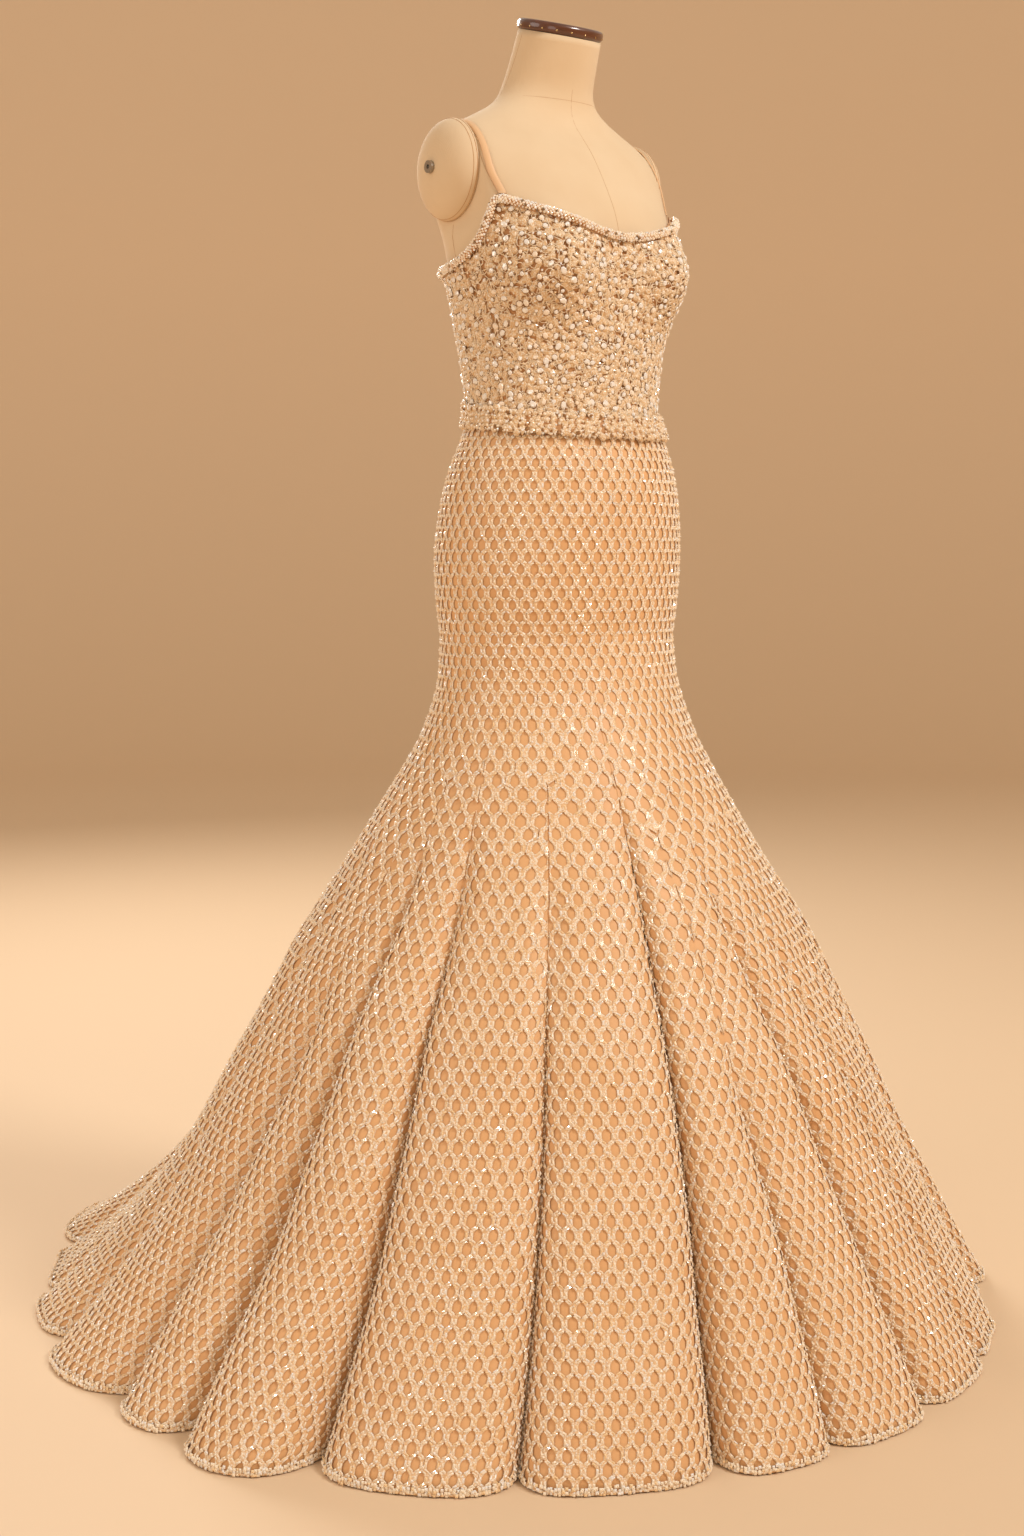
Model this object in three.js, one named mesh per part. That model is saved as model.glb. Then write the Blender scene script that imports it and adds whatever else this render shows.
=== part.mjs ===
// An evening gown on a dress form, in millimetres.
// The origin is on the floor at the foot of the pole. +Z is up, the front of the gown faces -Y,
// and the wearer's left is +X. Angles run round the pole from the front, towards the wearer's left.
import * as THREE from "three";

// Cloth walls and clearances
const WALL = 2;
const SEAM_GAP = 0.3;
const FORM_GAP = 2.6;
const BELT_GAP = 1.6;

// Waist line, lower at the front than at the back, and the belt over it
const WAIST_Z = 1124;
const WAIST_DROP = 12;
const WAIST_LEVELS_FROM = 1080;
const BELT_HEIGHT = 25;
const BELT_THICKNESS = 2.6;
const BELT_STEP = 7.5;

// Dress form: half width, and depth ahead of and behind the centre of each level section
const FORM_SECTIONS = [
  { z: 800, width: 148, front: 104, back: 106, centre: 4 },
  { z: 860, width: 155, front: 113, back: 113, centre: 4 },
  { z: 910, width: 160, front: 120, back: 119, centre: 4 },
  { z: 960, width: 161, front: 125, back: 122, centre: 4 },
  { z: 1010, width: 156, front: 126, back: 119, centre: 2 },
  { z: 1060, width: 146, front: 120, back: 107, centre: 0 },
  { z: 1100, width: 131, front: 108, back: 93, centre: -2 },
  { z: 1126, width: 124, front: 98, back: 88, centre: -2 },
  { z: 1150, width: 124, front: 96, back: 88, centre: -1 },
  { z: 1200, width: 130, front: 100, back: 94, centre: 0 },
  { z: 1250, width: 137, front: 107, back: 102, centre: 3 },
  { z: 1300, width: 145, front: 114, back: 107, centre: 8 },
  { z: 1335, width: 149, front: 118, back: 108, centre: 13 },
  { z: 1360, width: 155, front: 118, back: 108, centre: 18 },
  { z: 1385, width: 161, front: 112, back: 104, centre: 23 },
  { z: 1417, width: 166, front: 100, back: 96, centre: 29 },
  { z: 1441, width: 162, front: 88, back: 83, centre: 33 },
  { z: 1459, width: 151, front: 76, back: 69, centre: 36 },
  { z: 1472, width: 133, front: 66, back: 58, centre: 37 },
  { z: 1484, width: 110, front: 59, back: 50, centre: 37 },
  { z: 1495, width: 88, front: 55, back: 45, centre: 36 },
  { z: 1506, width: 72, front: 53, back: 43, centre: 34 },
  { z: 1522, width: 62, front: 52, back: 44, centre: 30 },
  { z: 1555, width: 56, front: 49, back: 46, centre: 16 },
  { z: 1586, width: 53, front: 47, back: 45, centre: 4 },
];
const FORM_LEVELS = [
  800, 860, 920, 980, 1035, 1080, 1105, 1130, 1165, 1205, 1238, 1262, 1281, 1297, 1313, 1328, 1342, 1357,
  1372, 1392, 1417, 1441, 1457, 1468, 1477, 1486, 1496, 1508, 1524, 1555, 1586,
];
const BUST = { x: 93, z: 1295, height: 37, across: 54, above: 58, below: 48, reach: 0.4 };
const NECK_TILT = 0.27;
const NECK_TILT_FROM = 1520;

// Arm plates of the form, each a dome on a flat face
const ARM_PLATE = { x: 140, y: 37, z: 1417, halfDepth: 55, halfHeight: 60, dome: 30, flatTop: 9 };
const ARM_ROUND = 5;
const ARM_FLARE = 0.4;
const ARM_FITTING = { radius: 7.5, bore: 2.6, length: 4, boreDepth: 3 };

// Cap on the neck, pole and base of the form
const NECK_CAP = { width: 55, depth: 49, thickness: 13, round: 5 };
const POLE_RADIUS = 17;
const BASE = { radius: 215, thickness: 12, wall: 7, chamfer: 6, hubRadius: 38, hubTop: 30, hubHeight: 34 };

// Sides and steps of the round parts
const SIDES = { base: 40, plate: 28, cap: 28, pole: 20, fitting: 16 };
const DOME_STEPS = 5;
const EDGE_STEPS = 2;

// Top edge of the bodice
const TOP_EDGE = [
  { angle: 0, z: 1338 },
  { angle: 15, z: 1342 },
  { angle: 28, z: 1352 },
  { angle: 38, z: 1362 },
  { angle: 47, z: 1370 },
  { angle: 57, z: 1379 },
  { angle: 65, z: 1358 },
  { angle: 72, z: 1338 },
  { angle: 80, z: 1319 },
  { angle: 88, z: 1310 },
  { angle: 95, z: 1306 },
  { angle: 115, z: 1303 },
  { angle: 180, z: 1298 },
];
const SIDE_SEAM = 95;
const STRAP_CORNER = 57;
const PANEL_STEPS = { front: 14, side: 5, back: 11 };
const BODICE_ROWS = [0, 0.07, 0.17, 0.31, 0.45, 0.58, 0.69, 0.78, 0.86, 0.93, 1];

// Rolled trim along the top edge: a half-round section, out from the panel and down from its edge
const TRIM_SECTION = [
  { out: 1.4, down: 10 },
  { out: 4, down: 10.5 },
  { out: 6.6, down: 7 },
  { out: 6.8, down: 3 },
  { out: 4.6, down: -0.8 },
  { out: 1.4, down: -1.6 },
];
const SHARPEST_MITRE = 0.6;

// Shoulder straps, traced over the form about a pivot inside the shoulder
const STRAP = { width: 7, thickness: 1.2, gap: 0.8, steps: 20, reach: 260, halvings: 40 };
const STRAP_PIVOT = { y: 35, z: 1388 };
const STRAP_PATH = [
  { turn: -96, x: 129 },
  { turn: -72, x: 135 },
  { turn: -35, x: 133 },
  { turn: 0, x: 129 },
  { turn: 45, x: 124 },
  { turn: 95, x: 117 },
  { turn: 151.3, x: 110 },
];

// Skirt envelope below the hips, without the train
const SKIRT_SECTIONS = [
  { z: 860, width: 159.5, front: 117.5, back: 117.5 },
  { z: 800, width: 162, front: 130, back: 132 },
  { z: 740, width: 179, front: 156, back: 162 },
  { z: 700, width: 197, front: 181, back: 190 },
  { z: 640, width: 228, front: 218, back: 236 },
  { z: 580, width: 262, front: 256, back: 278 },
  { z: 520, width: 297, front: 292, back: 317 },
  { z: 460, width: 331, front: 326, back: 364 },
  { z: 400, width: 364, front: 358, back: 400 },
  { z: 340, width: 394, front: 388, back: 433 },
  { z: 280, width: 424, front: 415, back: 460 },
  { z: 220, width: 455, front: 441, back: 482 },
  { z: 150, width: 494, front: 472, back: 512 },
  { z: 80, width: 538, front: 505, back: 550 },
  { z: 0, width: 588, front: 540, back: 596 },
];
const FORM_FIT_Z = 860;
const TRAIN = { from: 90, reach: 250, height: 450, spread: 1.3, sweep: 2.9, foldGain: 1.1 };

// Fold valleys of the skirt, round from the centre back: the angle where each starts and where it
// meets the floor, the height at which it starts, its depth at the hem, and how far the fold after
// it stands proud. A gore starts at each valley that names one.
const FOLDS = [
  { top: -180, hem: -180, start: 560, depth: 70, proud: 0, gore: "skirt_back_right" },
  { top: -160, hem: -162, start: 520, depth: 60, proud: 14 },
  { top: -140, hem: -146, start: 560, depth: 72, proud: -14 },
  { top: -125, hem: -131, start: 540, depth: 66, proud: 4, gore: "skirt_side_back_right" },
  { top: -108, hem: -116, start: 600, depth: 74, proud: 26 },
  { top: -91, hem: -97, start: 460, depth: 62, proud: 26 },
  { top: -81, hem: -84, start: 620, depth: 80, proud: 40, gore: "skirt_side_front_right" },
  { top: -66, hem: -66, start: 660, depth: 76, proud: 8 },
  { top: -42, hem: -42, start: 620, depth: 58, proud: 2 },
  { top: -18, hem: -19, start: 680, depth: 76, proud: 6, gore: "skirt_front" },
  { top: -9, hem: -5, start: 420, depth: 50, proud: 4 },
  { top: 2, hem: 11, start: 600, depth: 72, proud: -2 },
  { top: 15, hem: 28, start: 560, depth: 62, proud: -12, gore: "skirt_side_front_left" },
  { top: 28, hem: 42, start: 500, depth: 54, proud: -26 },
  { top: 42, hem: 55, start: 560, depth: 64, proud: 6 },
  { top: 58, hem: 68, start: 520, depth: 56, proud: 12 },
  { top: 75, hem: 82, start: 620, depth: 70, proud: 6, gore: "skirt_side_back_left" },
  { top: 91, hem: 97, start: 480, depth: 54, proud: 10 },
  { top: 107, hem: 112, start: 580, depth: 68, proud: 16 },
  { top: 124, hem: 128, start: 540, depth: 66, proud: 4, gore: "skirt_back_left" },
  { top: 141, hem: 144, start: 560, depth: 70, proud: 6 },
  { top: 160, hem: 162, start: 520, depth: 60, proud: 10 },
];
const FOLD_SHARPNESS = 5;
const FOLD_GROWTH = 0.85;
const FOLD_DRIFT_FROM = 760;
const VALLEY_WALL = 4;
const LEAST_LEAN = 0.35;
const FOLD_POSITIONS = [0, 0.05, 0.17, 0.38, 0.62, 0.83, 0.95];
const SMOOTH_STEP = 8;
const SMOOTH_LEVELS = [1098, 1055, 1010, 960, 910, 860, 800, 745, 695];
const FOLD_LEVELS = [635, 555, 455, 350, 250, 160, 85, 32, 0];

// Small steps for reading slopes off the surfaces
const TURN_STEP = THREE.MathUtils.degToRad(1);
const RISE_STEP = 2;
const STATION_STEP = 0.01;
const SIDE_STEP = 0.5;

// Finishes
const LINEN = { color: 0xe8cfa6, roughness: 0.85, metalness: 0 };
const BEADED_NET = { color: 0xefc08a, roughness: 0.6, metalness: 0.1 };
const BEADED_LACE = { color: 0xf0d9bb, roughness: 0.4, metalness: 0.2 };
const SATIN = { color: 0xe6a877, roughness: 0.4, metalness: 0 };
const WOOD = { color: 0x3c1a0e, roughness: 0.25, metalness: 0 };
const STEEL = { color: 0x8d8a85, roughness: 0.35, metalness: 0.9 };
const IRON = { color: 0x2b2b2d, roughness: 0.55, metalness: 0.6 };

const radians = THREE.MathUtils.degToRad;
const clamp = THREE.MathUtils.clamp;
const lerp = THREE.MathUtils.lerp;
const smoothstep = THREE.MathUtils.smoothstep;

// A smooth curve through one column of a table, read off against another column.
function tableCurve(rows, along, column) {
  const points = [...rows].sort((a, b) => a[along] - b[along]);
  const last = points.length - 1;
  const slope = (index) => {
    const before = points[Math.max(index - 1, 0)];
    const after = points[Math.min(index + 1, last)];
    return (after[column] - before[column]) / (after[along] - before[along]);
  };
  return (value) => {
    let index = 0;
    while (index < last - 1 && value > points[index + 1][along]) {
      index += 1;
    }
    const from = points[index];
    const to = points[index + 1];
    const span = to[along] - from[along];
    const t = clamp((value - from[along]) / span, 0, 1);
    const rise = 3 * t * t - 2 * t * t * t;
    const leave = t * (1 - t) * (1 - t) * span * slope(index);
    const arrive = t * t * (t - 1) * span * slope(index + 1);
    return lerp(from[column], to[column], rise) + leave + arrive;
  };
}

// Straight lines through a table, for edges that have a corner.
function tableLine(rows, along, column) {
  return (value) => {
    const next = Math.max(rows.findIndex((row) => row[along] >= value), 1);
    const t = (value - rows[next - 1][along]) / (rows[next][along] - rows[next - 1][along]);
    return lerp(rows[next - 1][column], rows[next][column], t);
  };
}

const curvesOf = (rows, columns) =>
  Object.fromEntries(columns.map((column) => [column, tableCurve(rows, "z", column)]));
const form = curvesOf(FORM_SECTIONS, ["width", "front", "back", "centre"]);
const skirt = curvesOf(SKIRT_SECTIONS, ["width", "front", "back"]);
const topEdge = tableLine(TOP_EDGE, "angle", "z");
const strapX = tableCurve(STRAP_PATH, "turn", "x");

// The bust of the form stands ahead of its section.
function bustAt(x, z) {
  const height = (z - BUST.z) / (z > BUST.z ? BUST.above : BUST.below);
  const left = (x - BUST.x) / BUST.across;
  const right = (x + BUST.x) / BUST.across;
  const across = Math.exp(-left * left) + Math.exp(-right * right);
  return BUST.height * across * Math.exp(-height * height);
}

// Half width at which the arm plates cut the shoulders off flat.
function armPlaneAt(z) {
  const below = ARM_PLATE.z - ARM_PLATE.halfHeight - z;
  return ARM_PLATE.x + Math.max(below, 0) * ARM_FLARE;
}

// The smaller of a value and a limit, rounded where one takes over from the other.
function softLimit(value, limit, round) {
  const over = clamp((value - limit + round) / (2 * round), 0, 1);
  return Math.min(value, limit) - round * over * (1 - over);
}

// A point on the surface of the form. The top of the neck leans down towards the front.
function formPoint(angle, z) {
  const ahead = Math.cos(angle);
  const side = form.width(z) * Math.sin(angle);
  const x = Math.sign(side) * softLimit(Math.abs(side), armPlaneAt(z), ARM_ROUND);
  const depth = ahead > 0 ? form.front(z) : form.back(z);
  const chest = bustAt(x, z) * smoothstep(ahead, 0, BUST.reach);
  const y = form.centre(z) - depth * ahead - chest;
  const tilt = Math.max(z - NECK_TILT_FROM, 0) / (FORM_SECTIONS.at(-1).z - NECK_TILT_FROM);
  return new THREE.Vector3(x, y, z + tilt * NECK_TILT * (y - form.centre(z)));
}

// The direction straight out of the form at an angle and a height.
function outwardOfForm(angle, z) {
  const across = formPoint(angle + TURN_STEP, z).sub(formPoint(angle - TURN_STEP, z));
  const up = formPoint(angle, z + RISE_STEP).sub(formPoint(angle, z - RISE_STEP));
  return across.cross(up).normalize();
}

// A point that lies a given distance off the form, moved out level.
function offForm(angle, z, distance) {
  const normal = outwardOfForm(angle, z);
  const level = new THREE.Vector3(normal.x, normal.y, 0).normalize();
  return formPoint(angle, z).addScaledVector(level, distance / normal.dot(level));
}

const waistZ = (angle) => WAIST_Z - WAIST_DROP * Math.cos(angle);

// Triangles between two rows of points, each row with its own stations along a shared scale.
function zipRows(lower, upper) {
  const faces = [];
  let i = 0;
  let j = 0;
  while (i < lower.points.length - 1 || j < upper.points.length - 1) {
    const lowerNext = lower.at[i + 1] ?? Infinity;
    const upperNext = upper.at[j + 1] ?? Infinity;
    if (lowerNext <= upperNext) {
      faces.push([lower.points[i], lower.points[i + 1], upper.points[j]]);
      i += 1;
    } else {
      faces.push([lower.points[i], upper.points[j + 1], upper.points[j]]);
      j += 1;
    }
  }
  return faces;
}

const evenRow = (points) => ({ points, at: points.map((point, index) => index) });

// A geometry from loose triangles, turned so that its faces point out.
function solidOf(faces) {
  const box = new THREE.Box3().setFromPoints(faces.flat());
  const middle = box.getCenter(new THREE.Vector3());
  const volume = faces.reduce((sum, [a, b, c]) => {
    const edge = b.clone().sub(middle).cross(c.clone().sub(middle));
    return sum + a.clone().sub(middle).dot(edge);
  }, 0);
  const turned = volume > 0 ? faces : faces.map(([a, b, c]) => [a, c, b]);
  return new THREE.BufferGeometry().setFromPoints(turned.flat());
}

// A cloth wall from matching rows of outer and inner points, closed along all four edges.
function wallSolid(outerRows, innerRows) {
  const flip = ([a, b, c]) => [a, c, b];
  const faces = [];
  for (let row = 0; row < outerRows.length - 1; row += 1) {
    faces.push(...zipRows(outerRows[row], outerRows[row + 1]));
    faces.push(...zipRows(innerRows[row], innerRows[row + 1]).map(flip));
  }
  faces.push(...zipRows(innerRows[0], outerRows[0]));
  faces.push(...zipRows(innerRows.at(-1), outerRows.at(-1)).map(flip));
  const column = (rows, index) => evenRow(rows.map((row) => row.points.at(index)));
  faces.push(...zipRows(column(innerRows, 0), column(outerRows, 0)).map(flip));
  faces.push(...zipRows(column(innerRows, -1), column(outerRows, -1)));
  return solidOf(faces);
}

// A solid through closed rings of points, with a fan over each end.
function ringSolid(rings) {
  const closed = (ring) => evenRow([...ring, ring[0]]);
  const faces = [];
  for (let index = 0; index < rings.length - 1; index += 1) {
    faces.push(...zipRows(closed(rings[index]), closed(rings[index + 1])));
  }
  const fan = (ring) => {
    const middle = new THREE.Vector3();
    ring.forEach((point) => middle.addScaledVector(point, 1 / ring.length));
    return ring.map((point, index) => [point, ring[(index + 1) % ring.length], middle]);
  };
  faces.push(...fan(rings[0]).map(([a, b, c]) => [b, a, c]));
  faces.push(...fan(rings.at(-1)));
  return solidOf(faces);
}

const gown = new THREE.Group();
const materials = new Map();

function addPiece(name, geometry, finish, parent = gown) {
  if (!materials.has(finish)) {
    materials.set(finish, new THREE.MeshStandardMaterial(finish));
  }
  const piece = new THREE.Mesh(geometry, materials.get(finish).clone());
  piece.name = name;
  parent.add(piece);
  return piece;
}

// Skirt

const FULL_TURN = 360;
const foldAt = (index) => {
  const row = FOLDS[index % FOLDS.length];
  const turn = FULL_TURN * Math.floor(index / FOLDS.length);
  return { ...row, top: row.top + turn, hem: row.hem + turn };
};

// How far a valley has deepened at a height, from none where it starts to one at the hem.
const foldShare = (fold, z) => Math.pow(clamp((fold.start - z) / fold.start, 0, 1), FOLD_GROWTH);

// How far the train has swept out at an angle and a height.
function trainShare(angle, z) {
  const round = Math.abs(Math.atan2(Math.sin(angle), Math.cos(angle)));
  const behind = Math.max((round - radians(TRAIN.from)) / (Math.PI - radians(TRAIN.from)), 0);
  const low = clamp((TRAIN.height - z) / TRAIN.height, 0, 1);
  return Math.pow(behind, TRAIN.spread) * Math.pow(low, TRAIN.sweep);
}

// Station is the fold's number plus the share of the way across it.
function stationAngle(station, z) {
  const index = Math.min(Math.floor(station), FOLDS.length - 1);
  const across = station - index;
  const low = smoothstep(-z, -FOLD_DRIFT_FROM, 0);
  const from = foldAt(index);
  const to = foldAt(index + 1);
  return radians(lerp(lerp(from.top, to.top, across), lerp(from.hem, to.hem, across), low));
}

// A point on the outside of the skirt.
function skirtPoint(station, z) {
  const index = Math.min(Math.floor(station), FOLDS.length - 1);
  const across = station - index;
  const angle = stationAngle(station, z);
  if (z >= FORM_FIT_Z) {
    return offForm(angle, z, FORM_GAP + WALL);
  }
  const valley = foldAt(across < 0.5 ? index : index + 1);
  const edge = Math.abs(2 * across - 1);
  const dip = 1 - Math.sqrt(Math.max(1 - Math.pow(edge, FOLD_SHARPNESS), 0));
  const train = trainShare(angle, z);
  const share = foldShare(valley, z);
  const fold = foldAt(index);
  const crown = fold.proud * foldShare(fold, z) * (1 - edge * edge);
  const hollow = valley.depth * share * dip * (1 + TRAIN.foldGain * train);
  const shift = TRAIN.reach * train + crown - hollow;
  const ahead = Math.cos(angle);
  const depth = (ahead > 0 ? skirt.front(z) : skirt.back(z)) + shift;
  const fitted = clamp((z - FOLD_DRIFT_FROM) / (FORM_FIT_Z - FOLD_DRIFT_FROM), 0, 1);
  const centre = form.centre(FORM_FIT_Z) * fitted;
  return new THREE.Vector3((skirt.width(z) + shift) * Math.sin(angle), centre - depth * ahead, z);
}

// The inside of the skirt wall lies level with the outside point, so that each level stays flat.
function skirtInside(station, z) {
  const outer = skirtPoint(station, z);
  const below = skirtPoint(station, Math.max(z - RISE_STEP, 0));
  const up = skirtPoint(station, z + RISE_STEP).sub(below);
  const index = Math.round(station);
  if (station === index) {
    const lean = Math.max(up.z / up.length(), LEAST_LEAN);
    const thick = lerp(WALL, VALLEY_WALL, foldShare(foldAt(index), z));
    const inward = new THREE.Vector3(outer.x, outer.y, 0).normalize();
    return outer.addScaledVector(inward, -thick / Math.sqrt(lean));
  }
  const across = skirtPoint(station + STATION_STEP, z).sub(skirtPoint(station - STATION_STEP, z));
  const normal = across.cross(up).normalize();
  const level = new THREE.Vector3(normal.x, normal.y, 0).normalize();
  return outer.addScaledVector(level, -WALL / Math.max(normal.dot(level), LEAST_LEAN));
}

// Move a point sideways round the pole, for the gap at a seam.
function besideSeam(point, distance) {
  const along = new THREE.Vector3(-point.y, point.x, 0).normalize();
  return point.clone().addScaledVector(along, distance);
}

// One level of a gore, between two valleys: fine across the folds, coarse above them.
function goreRow(first, last, level, fine) {
  const at = [];
  for (let index = first; index < last; index += 1) {
    const span = foldAt(index + 1).top - foldAt(index).top;
    const steps = Math.max(Math.round(span / SMOOTH_STEP), 1);
    const coarse = Array.from({ length: steps }, (unused, step) => step / steps);
    at.push(...(fine ? FOLD_POSITIONS : coarse).map((across) => index + across));
  }
  at.push(last);
  const heightAt = (station) => {
    const waist = waistZ(stationAngle(station, WAIST_Z)) - SEAM_GAP / 2;
    return level > WAIST_LEVELS_FROM ? waist - (WAIST_Z - level) : level;
  };
  const line = (surface) => {
    const points = at.map((station) => surface(station, heightAt(station)));
    points[0] = besideSeam(points[0], SEAM_GAP / 2);
    points[points.length - 1] = besideSeam(points.at(-1), -SEAM_GAP / 2);
    return { points, at };
  };
  return { outer: line(skirtPoint), inner: line(skirtInside) };
}

function buildSkirt() {
  const starts = FOLDS.flatMap((fold, index) => (fold.gore ? [index] : []));
  starts.forEach((first, order) => {
    const last = starts[order + 1] ?? FOLDS.length;
    const rows = [
      ...FOLD_LEVELS.map((level) => goreRow(first, last, level, true)).reverse(),
      ...SMOOTH_LEVELS.map((level) => goreRow(first, last, level, false)).reverse(),
      goreRow(first, last, WAIST_Z, false),
    ];
    const solid = wallSolid(rows.map((row) => row.outer), rows.map((row) => row.inner));
    addPiece(FOLDS[first].gore, solid, BEADED_NET);
  });
}

// Bodice

// Even steps from one angle to another, without the last.
const stepsFrom = (from, to, count) =>
  Array.from({ length: count }, (unused, step) => lerp(from, to, step / count));

const FRONT_ANGLES = [
  ...stepsFrom(-SIDE_SEAM, -STRAP_CORNER, PANEL_STEPS.side),
  ...stepsFrom(-STRAP_CORNER, STRAP_CORNER, PANEL_STEPS.front),
  ...stepsFrom(STRAP_CORNER, SIDE_SEAM, PANEL_STEPS.side),
  SIDE_SEAM,
];
const BACK_ANGLES = [...stepsFrom(SIDE_SEAM, 180, PANEL_STEPS.back), 180];

// Rows of points over a panel, a given distance off the form, from a lower to an upper line.
function panelRows(angles, shares, lowerZ, upperZ, distance) {
  return shares.map((share) => {
    const points = angles.map((degrees) => {
      const angle = radians(degrees);
      return offForm(angle, lerp(lowerZ(angle), upperZ(angle), share), distance);
    });
    points[0] = besideSeam(points[0], SEAM_GAP / 2);
    points[points.length - 1] = besideSeam(points.at(-1), -SEAM_GAP / 2);
    return { points, at: angles };
  });
}

const bodiceTopZ = (angle) => topEdge(Math.abs(THREE.MathUtils.radToDeg(angle)));

function buildBodice() {
  const bottomZ = (angle) => waistZ(angle) + SEAM_GAP / 2;
  const panel = (angles) => {
    const rows = (distance) => panelRows(angles, BODICE_ROWS, bottomZ, bodiceTopZ, distance);
    return wallSolid(rows(FORM_GAP + WALL), rows(FORM_GAP));
  };
  addPiece("bodice_front", panel(FRONT_ANGLES), BEADED_LACE);
  addPiece("bodice_back_left", panel(BACK_ANGLES), BEADED_LACE);
  addPiece("bodice_back_right", panel(BACK_ANGLES.map((angle) => -angle).reverse()), BEADED_LACE);
}

function buildBelt() {
  const angles = [...stepsFrom(-180, 180, Math.round(FULL_TURN / BELT_STEP)), 180];
  const lowerZ = (angle) => waistZ(angle) - BELT_HEIGHT / 2;
  const upperZ = (angle) => waistZ(angle) + BELT_HEIGHT / 2;
  const inside = FORM_GAP + WALL + BELT_GAP;
  const rows = (distance) => panelRows(angles, [0, 1], lowerZ, upperZ, distance);
  addPiece("waist_belt", wallSolid(rows(inside + BELT_THICKNESS), rows(inside)), BEADED_LACE);
}

// The trim follows the top edge. Its section turns with the edge and is mitred at the corners.
function buildTrim() {
  const back = BACK_ANGLES.slice(1);
  const angles = [...back.map((angle) => -angle).reverse(), ...FRONT_ANGLES, ...back].map(radians);
  const speed = (angle) => {
    const z = bodiceTopZ(angle);
    const before = formPoint(angle - TURN_STEP, z);
    return formPoint(angle + TURN_STEP, z).distanceTo(before) / (2 * TURN_STEP);
  };
  const heading = (from, to) => {
    const run = (to - from) * speed((from + to) / 2);
    return new THREE.Vector2(run, bodiceTopZ(to) - bodiceTopZ(from)).normalize();
  };
  const rings = angles.map((angle, index) => {
    const before = angles[Math.max(index - 1, 0)];
    const after = angles[Math.min(index + 1, angles.length - 1)];
    const arrive = index > 0 ? heading(before, angle) : heading(angle, after);
    const leave = after > angle ? heading(angle, after) : arrive;
    const along = arrive.clone().add(leave).normalize();
    const mitre = 1 / Math.max(along.dot(arrive), SHARPEST_MITRE);
    const ring = TRIM_SECTION.map(({ out, down }) => {
      const turn = (along.y * down * mitre) / speed(angle);
      const level = bodiceTopZ(angle) - along.x * down * mitre;
      return offForm(angle + turn, level, FORM_GAP + WALL + out);
    });
    const seam = { 0: SEAM_GAP / 2, [angles.length - 1]: -SEAM_GAP / 2 }[index] ?? 0;
    return ring.map((point) => besideSeam(point, seam));
  });
  addPiece("neckline_trim", ringSolid(rings), BEADED_LACE);
}

// Straps

// Less than zero inside the form, in the shoulders where the straps run.
function formSide(x, y, z) {
  const ahead = y < form.centre(z);
  const depth = ahead ? form.front(z) : form.back(z);
  const across = x / form.width(z);
  const chest = ahead ? bustAt(x, z) : 0;
  const along = (y + chest - form.centre(z)) / depth;
  return across * across + along * along - 1;
}

// The point where a ray from the pivot, turned from straight up, leaves the form.
function shoulderPoint(x, turn) {
  let inside = 0;
  let outside = STRAP.reach;
  const onRay = (length) => new THREE.Vector3(
    x,
    STRAP_PIVOT.y + length * Math.sin(turn),
    Math.min(STRAP_PIVOT.z + length * Math.cos(turn), FORM_SECTIONS.at(-1).z),
  );
  for (let halving = 0; halving < STRAP.halvings; halving += 1) {
    const middle = (inside + outside) / 2;
    const point = onRay(middle);
    if (formSide(point.x, point.y, point.z) < 0) {
      inside = middle;
    } else {
      outside = middle;
    }
  }
  return onRay(inside);
}

function shoulderNormal(point) {
  const slope = (axis) => {
    const step = new THREE.Vector3().setComponent(axis, SIDE_STEP);
    const after = point.clone().add(step);
    const before = point.clone().sub(step);
    return formSide(after.x, after.y, after.z) - formSide(before.x, before.y, before.z);
  };
  return new THREE.Vector3(slope(0), slope(1), slope(2)).normalize();
}

function buildStrap(name, side) {
  const rings = Array.from({ length: STRAP.steps + 1 }, (unused, step) => {
    const share = step / STRAP.steps;
    const degrees = lerp(STRAP_PATH[0].turn, STRAP_PATH.at(-1).turn, share);
    const middle = strapX(degrees);
    const [inner, outer] = [-STRAP.width / 2, STRAP.width / 2].map((beside) =>
      shoulderPoint(middle + beside, radians(degrees)));
    const lift = (point, distance) => {
      const lifted = point.clone().addScaledVector(shoulderNormal(point), distance);
      lifted.x *= side;
      return lifted;
    };
    const top = STRAP.gap + STRAP.thickness;
    return [lift(inner, STRAP.gap), lift(outer, STRAP.gap), lift(outer, top), lift(inner, top)];
  });
  addPiece(name, ringSolid(rings), SATIN);
}

// Dress form

function buildTorso() {
  const back = BACK_ANGLES.slice(1);
  const mirrored = back.slice(0, -1).map((angle) => -angle).reverse();
  const angles = [...FRONT_ANGLES, ...back, ...mirrored].map(radians);
  const rings = FORM_LEVELS.map((z) => angles.map((angle) => formPoint(angle, z)));
  addPiece("form_torso", ringSolid(rings), LINEN);
}

// A turned solid from a profile of radius and height that starts and ends on the axis.
function turned(profile, segments) {
  const points = profile.map(([radius, height]) => new THREE.Vector2(radius, height));
  return new THREE.LatheGeometry(points, segments).rotateX(Math.PI / 2);
}

// A quarter round between a wall and a top, as profile points.
function roundedEdge(radius, height, round) {
  return Array.from({ length: EDGE_STEPS + 1 }, (unused, step) => {
    const turn = (step / EDGE_STEPS) * (Math.PI / 2);
    return [radius - round + round * Math.cos(turn), height - round + round * Math.sin(turn)];
  });
}

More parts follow.
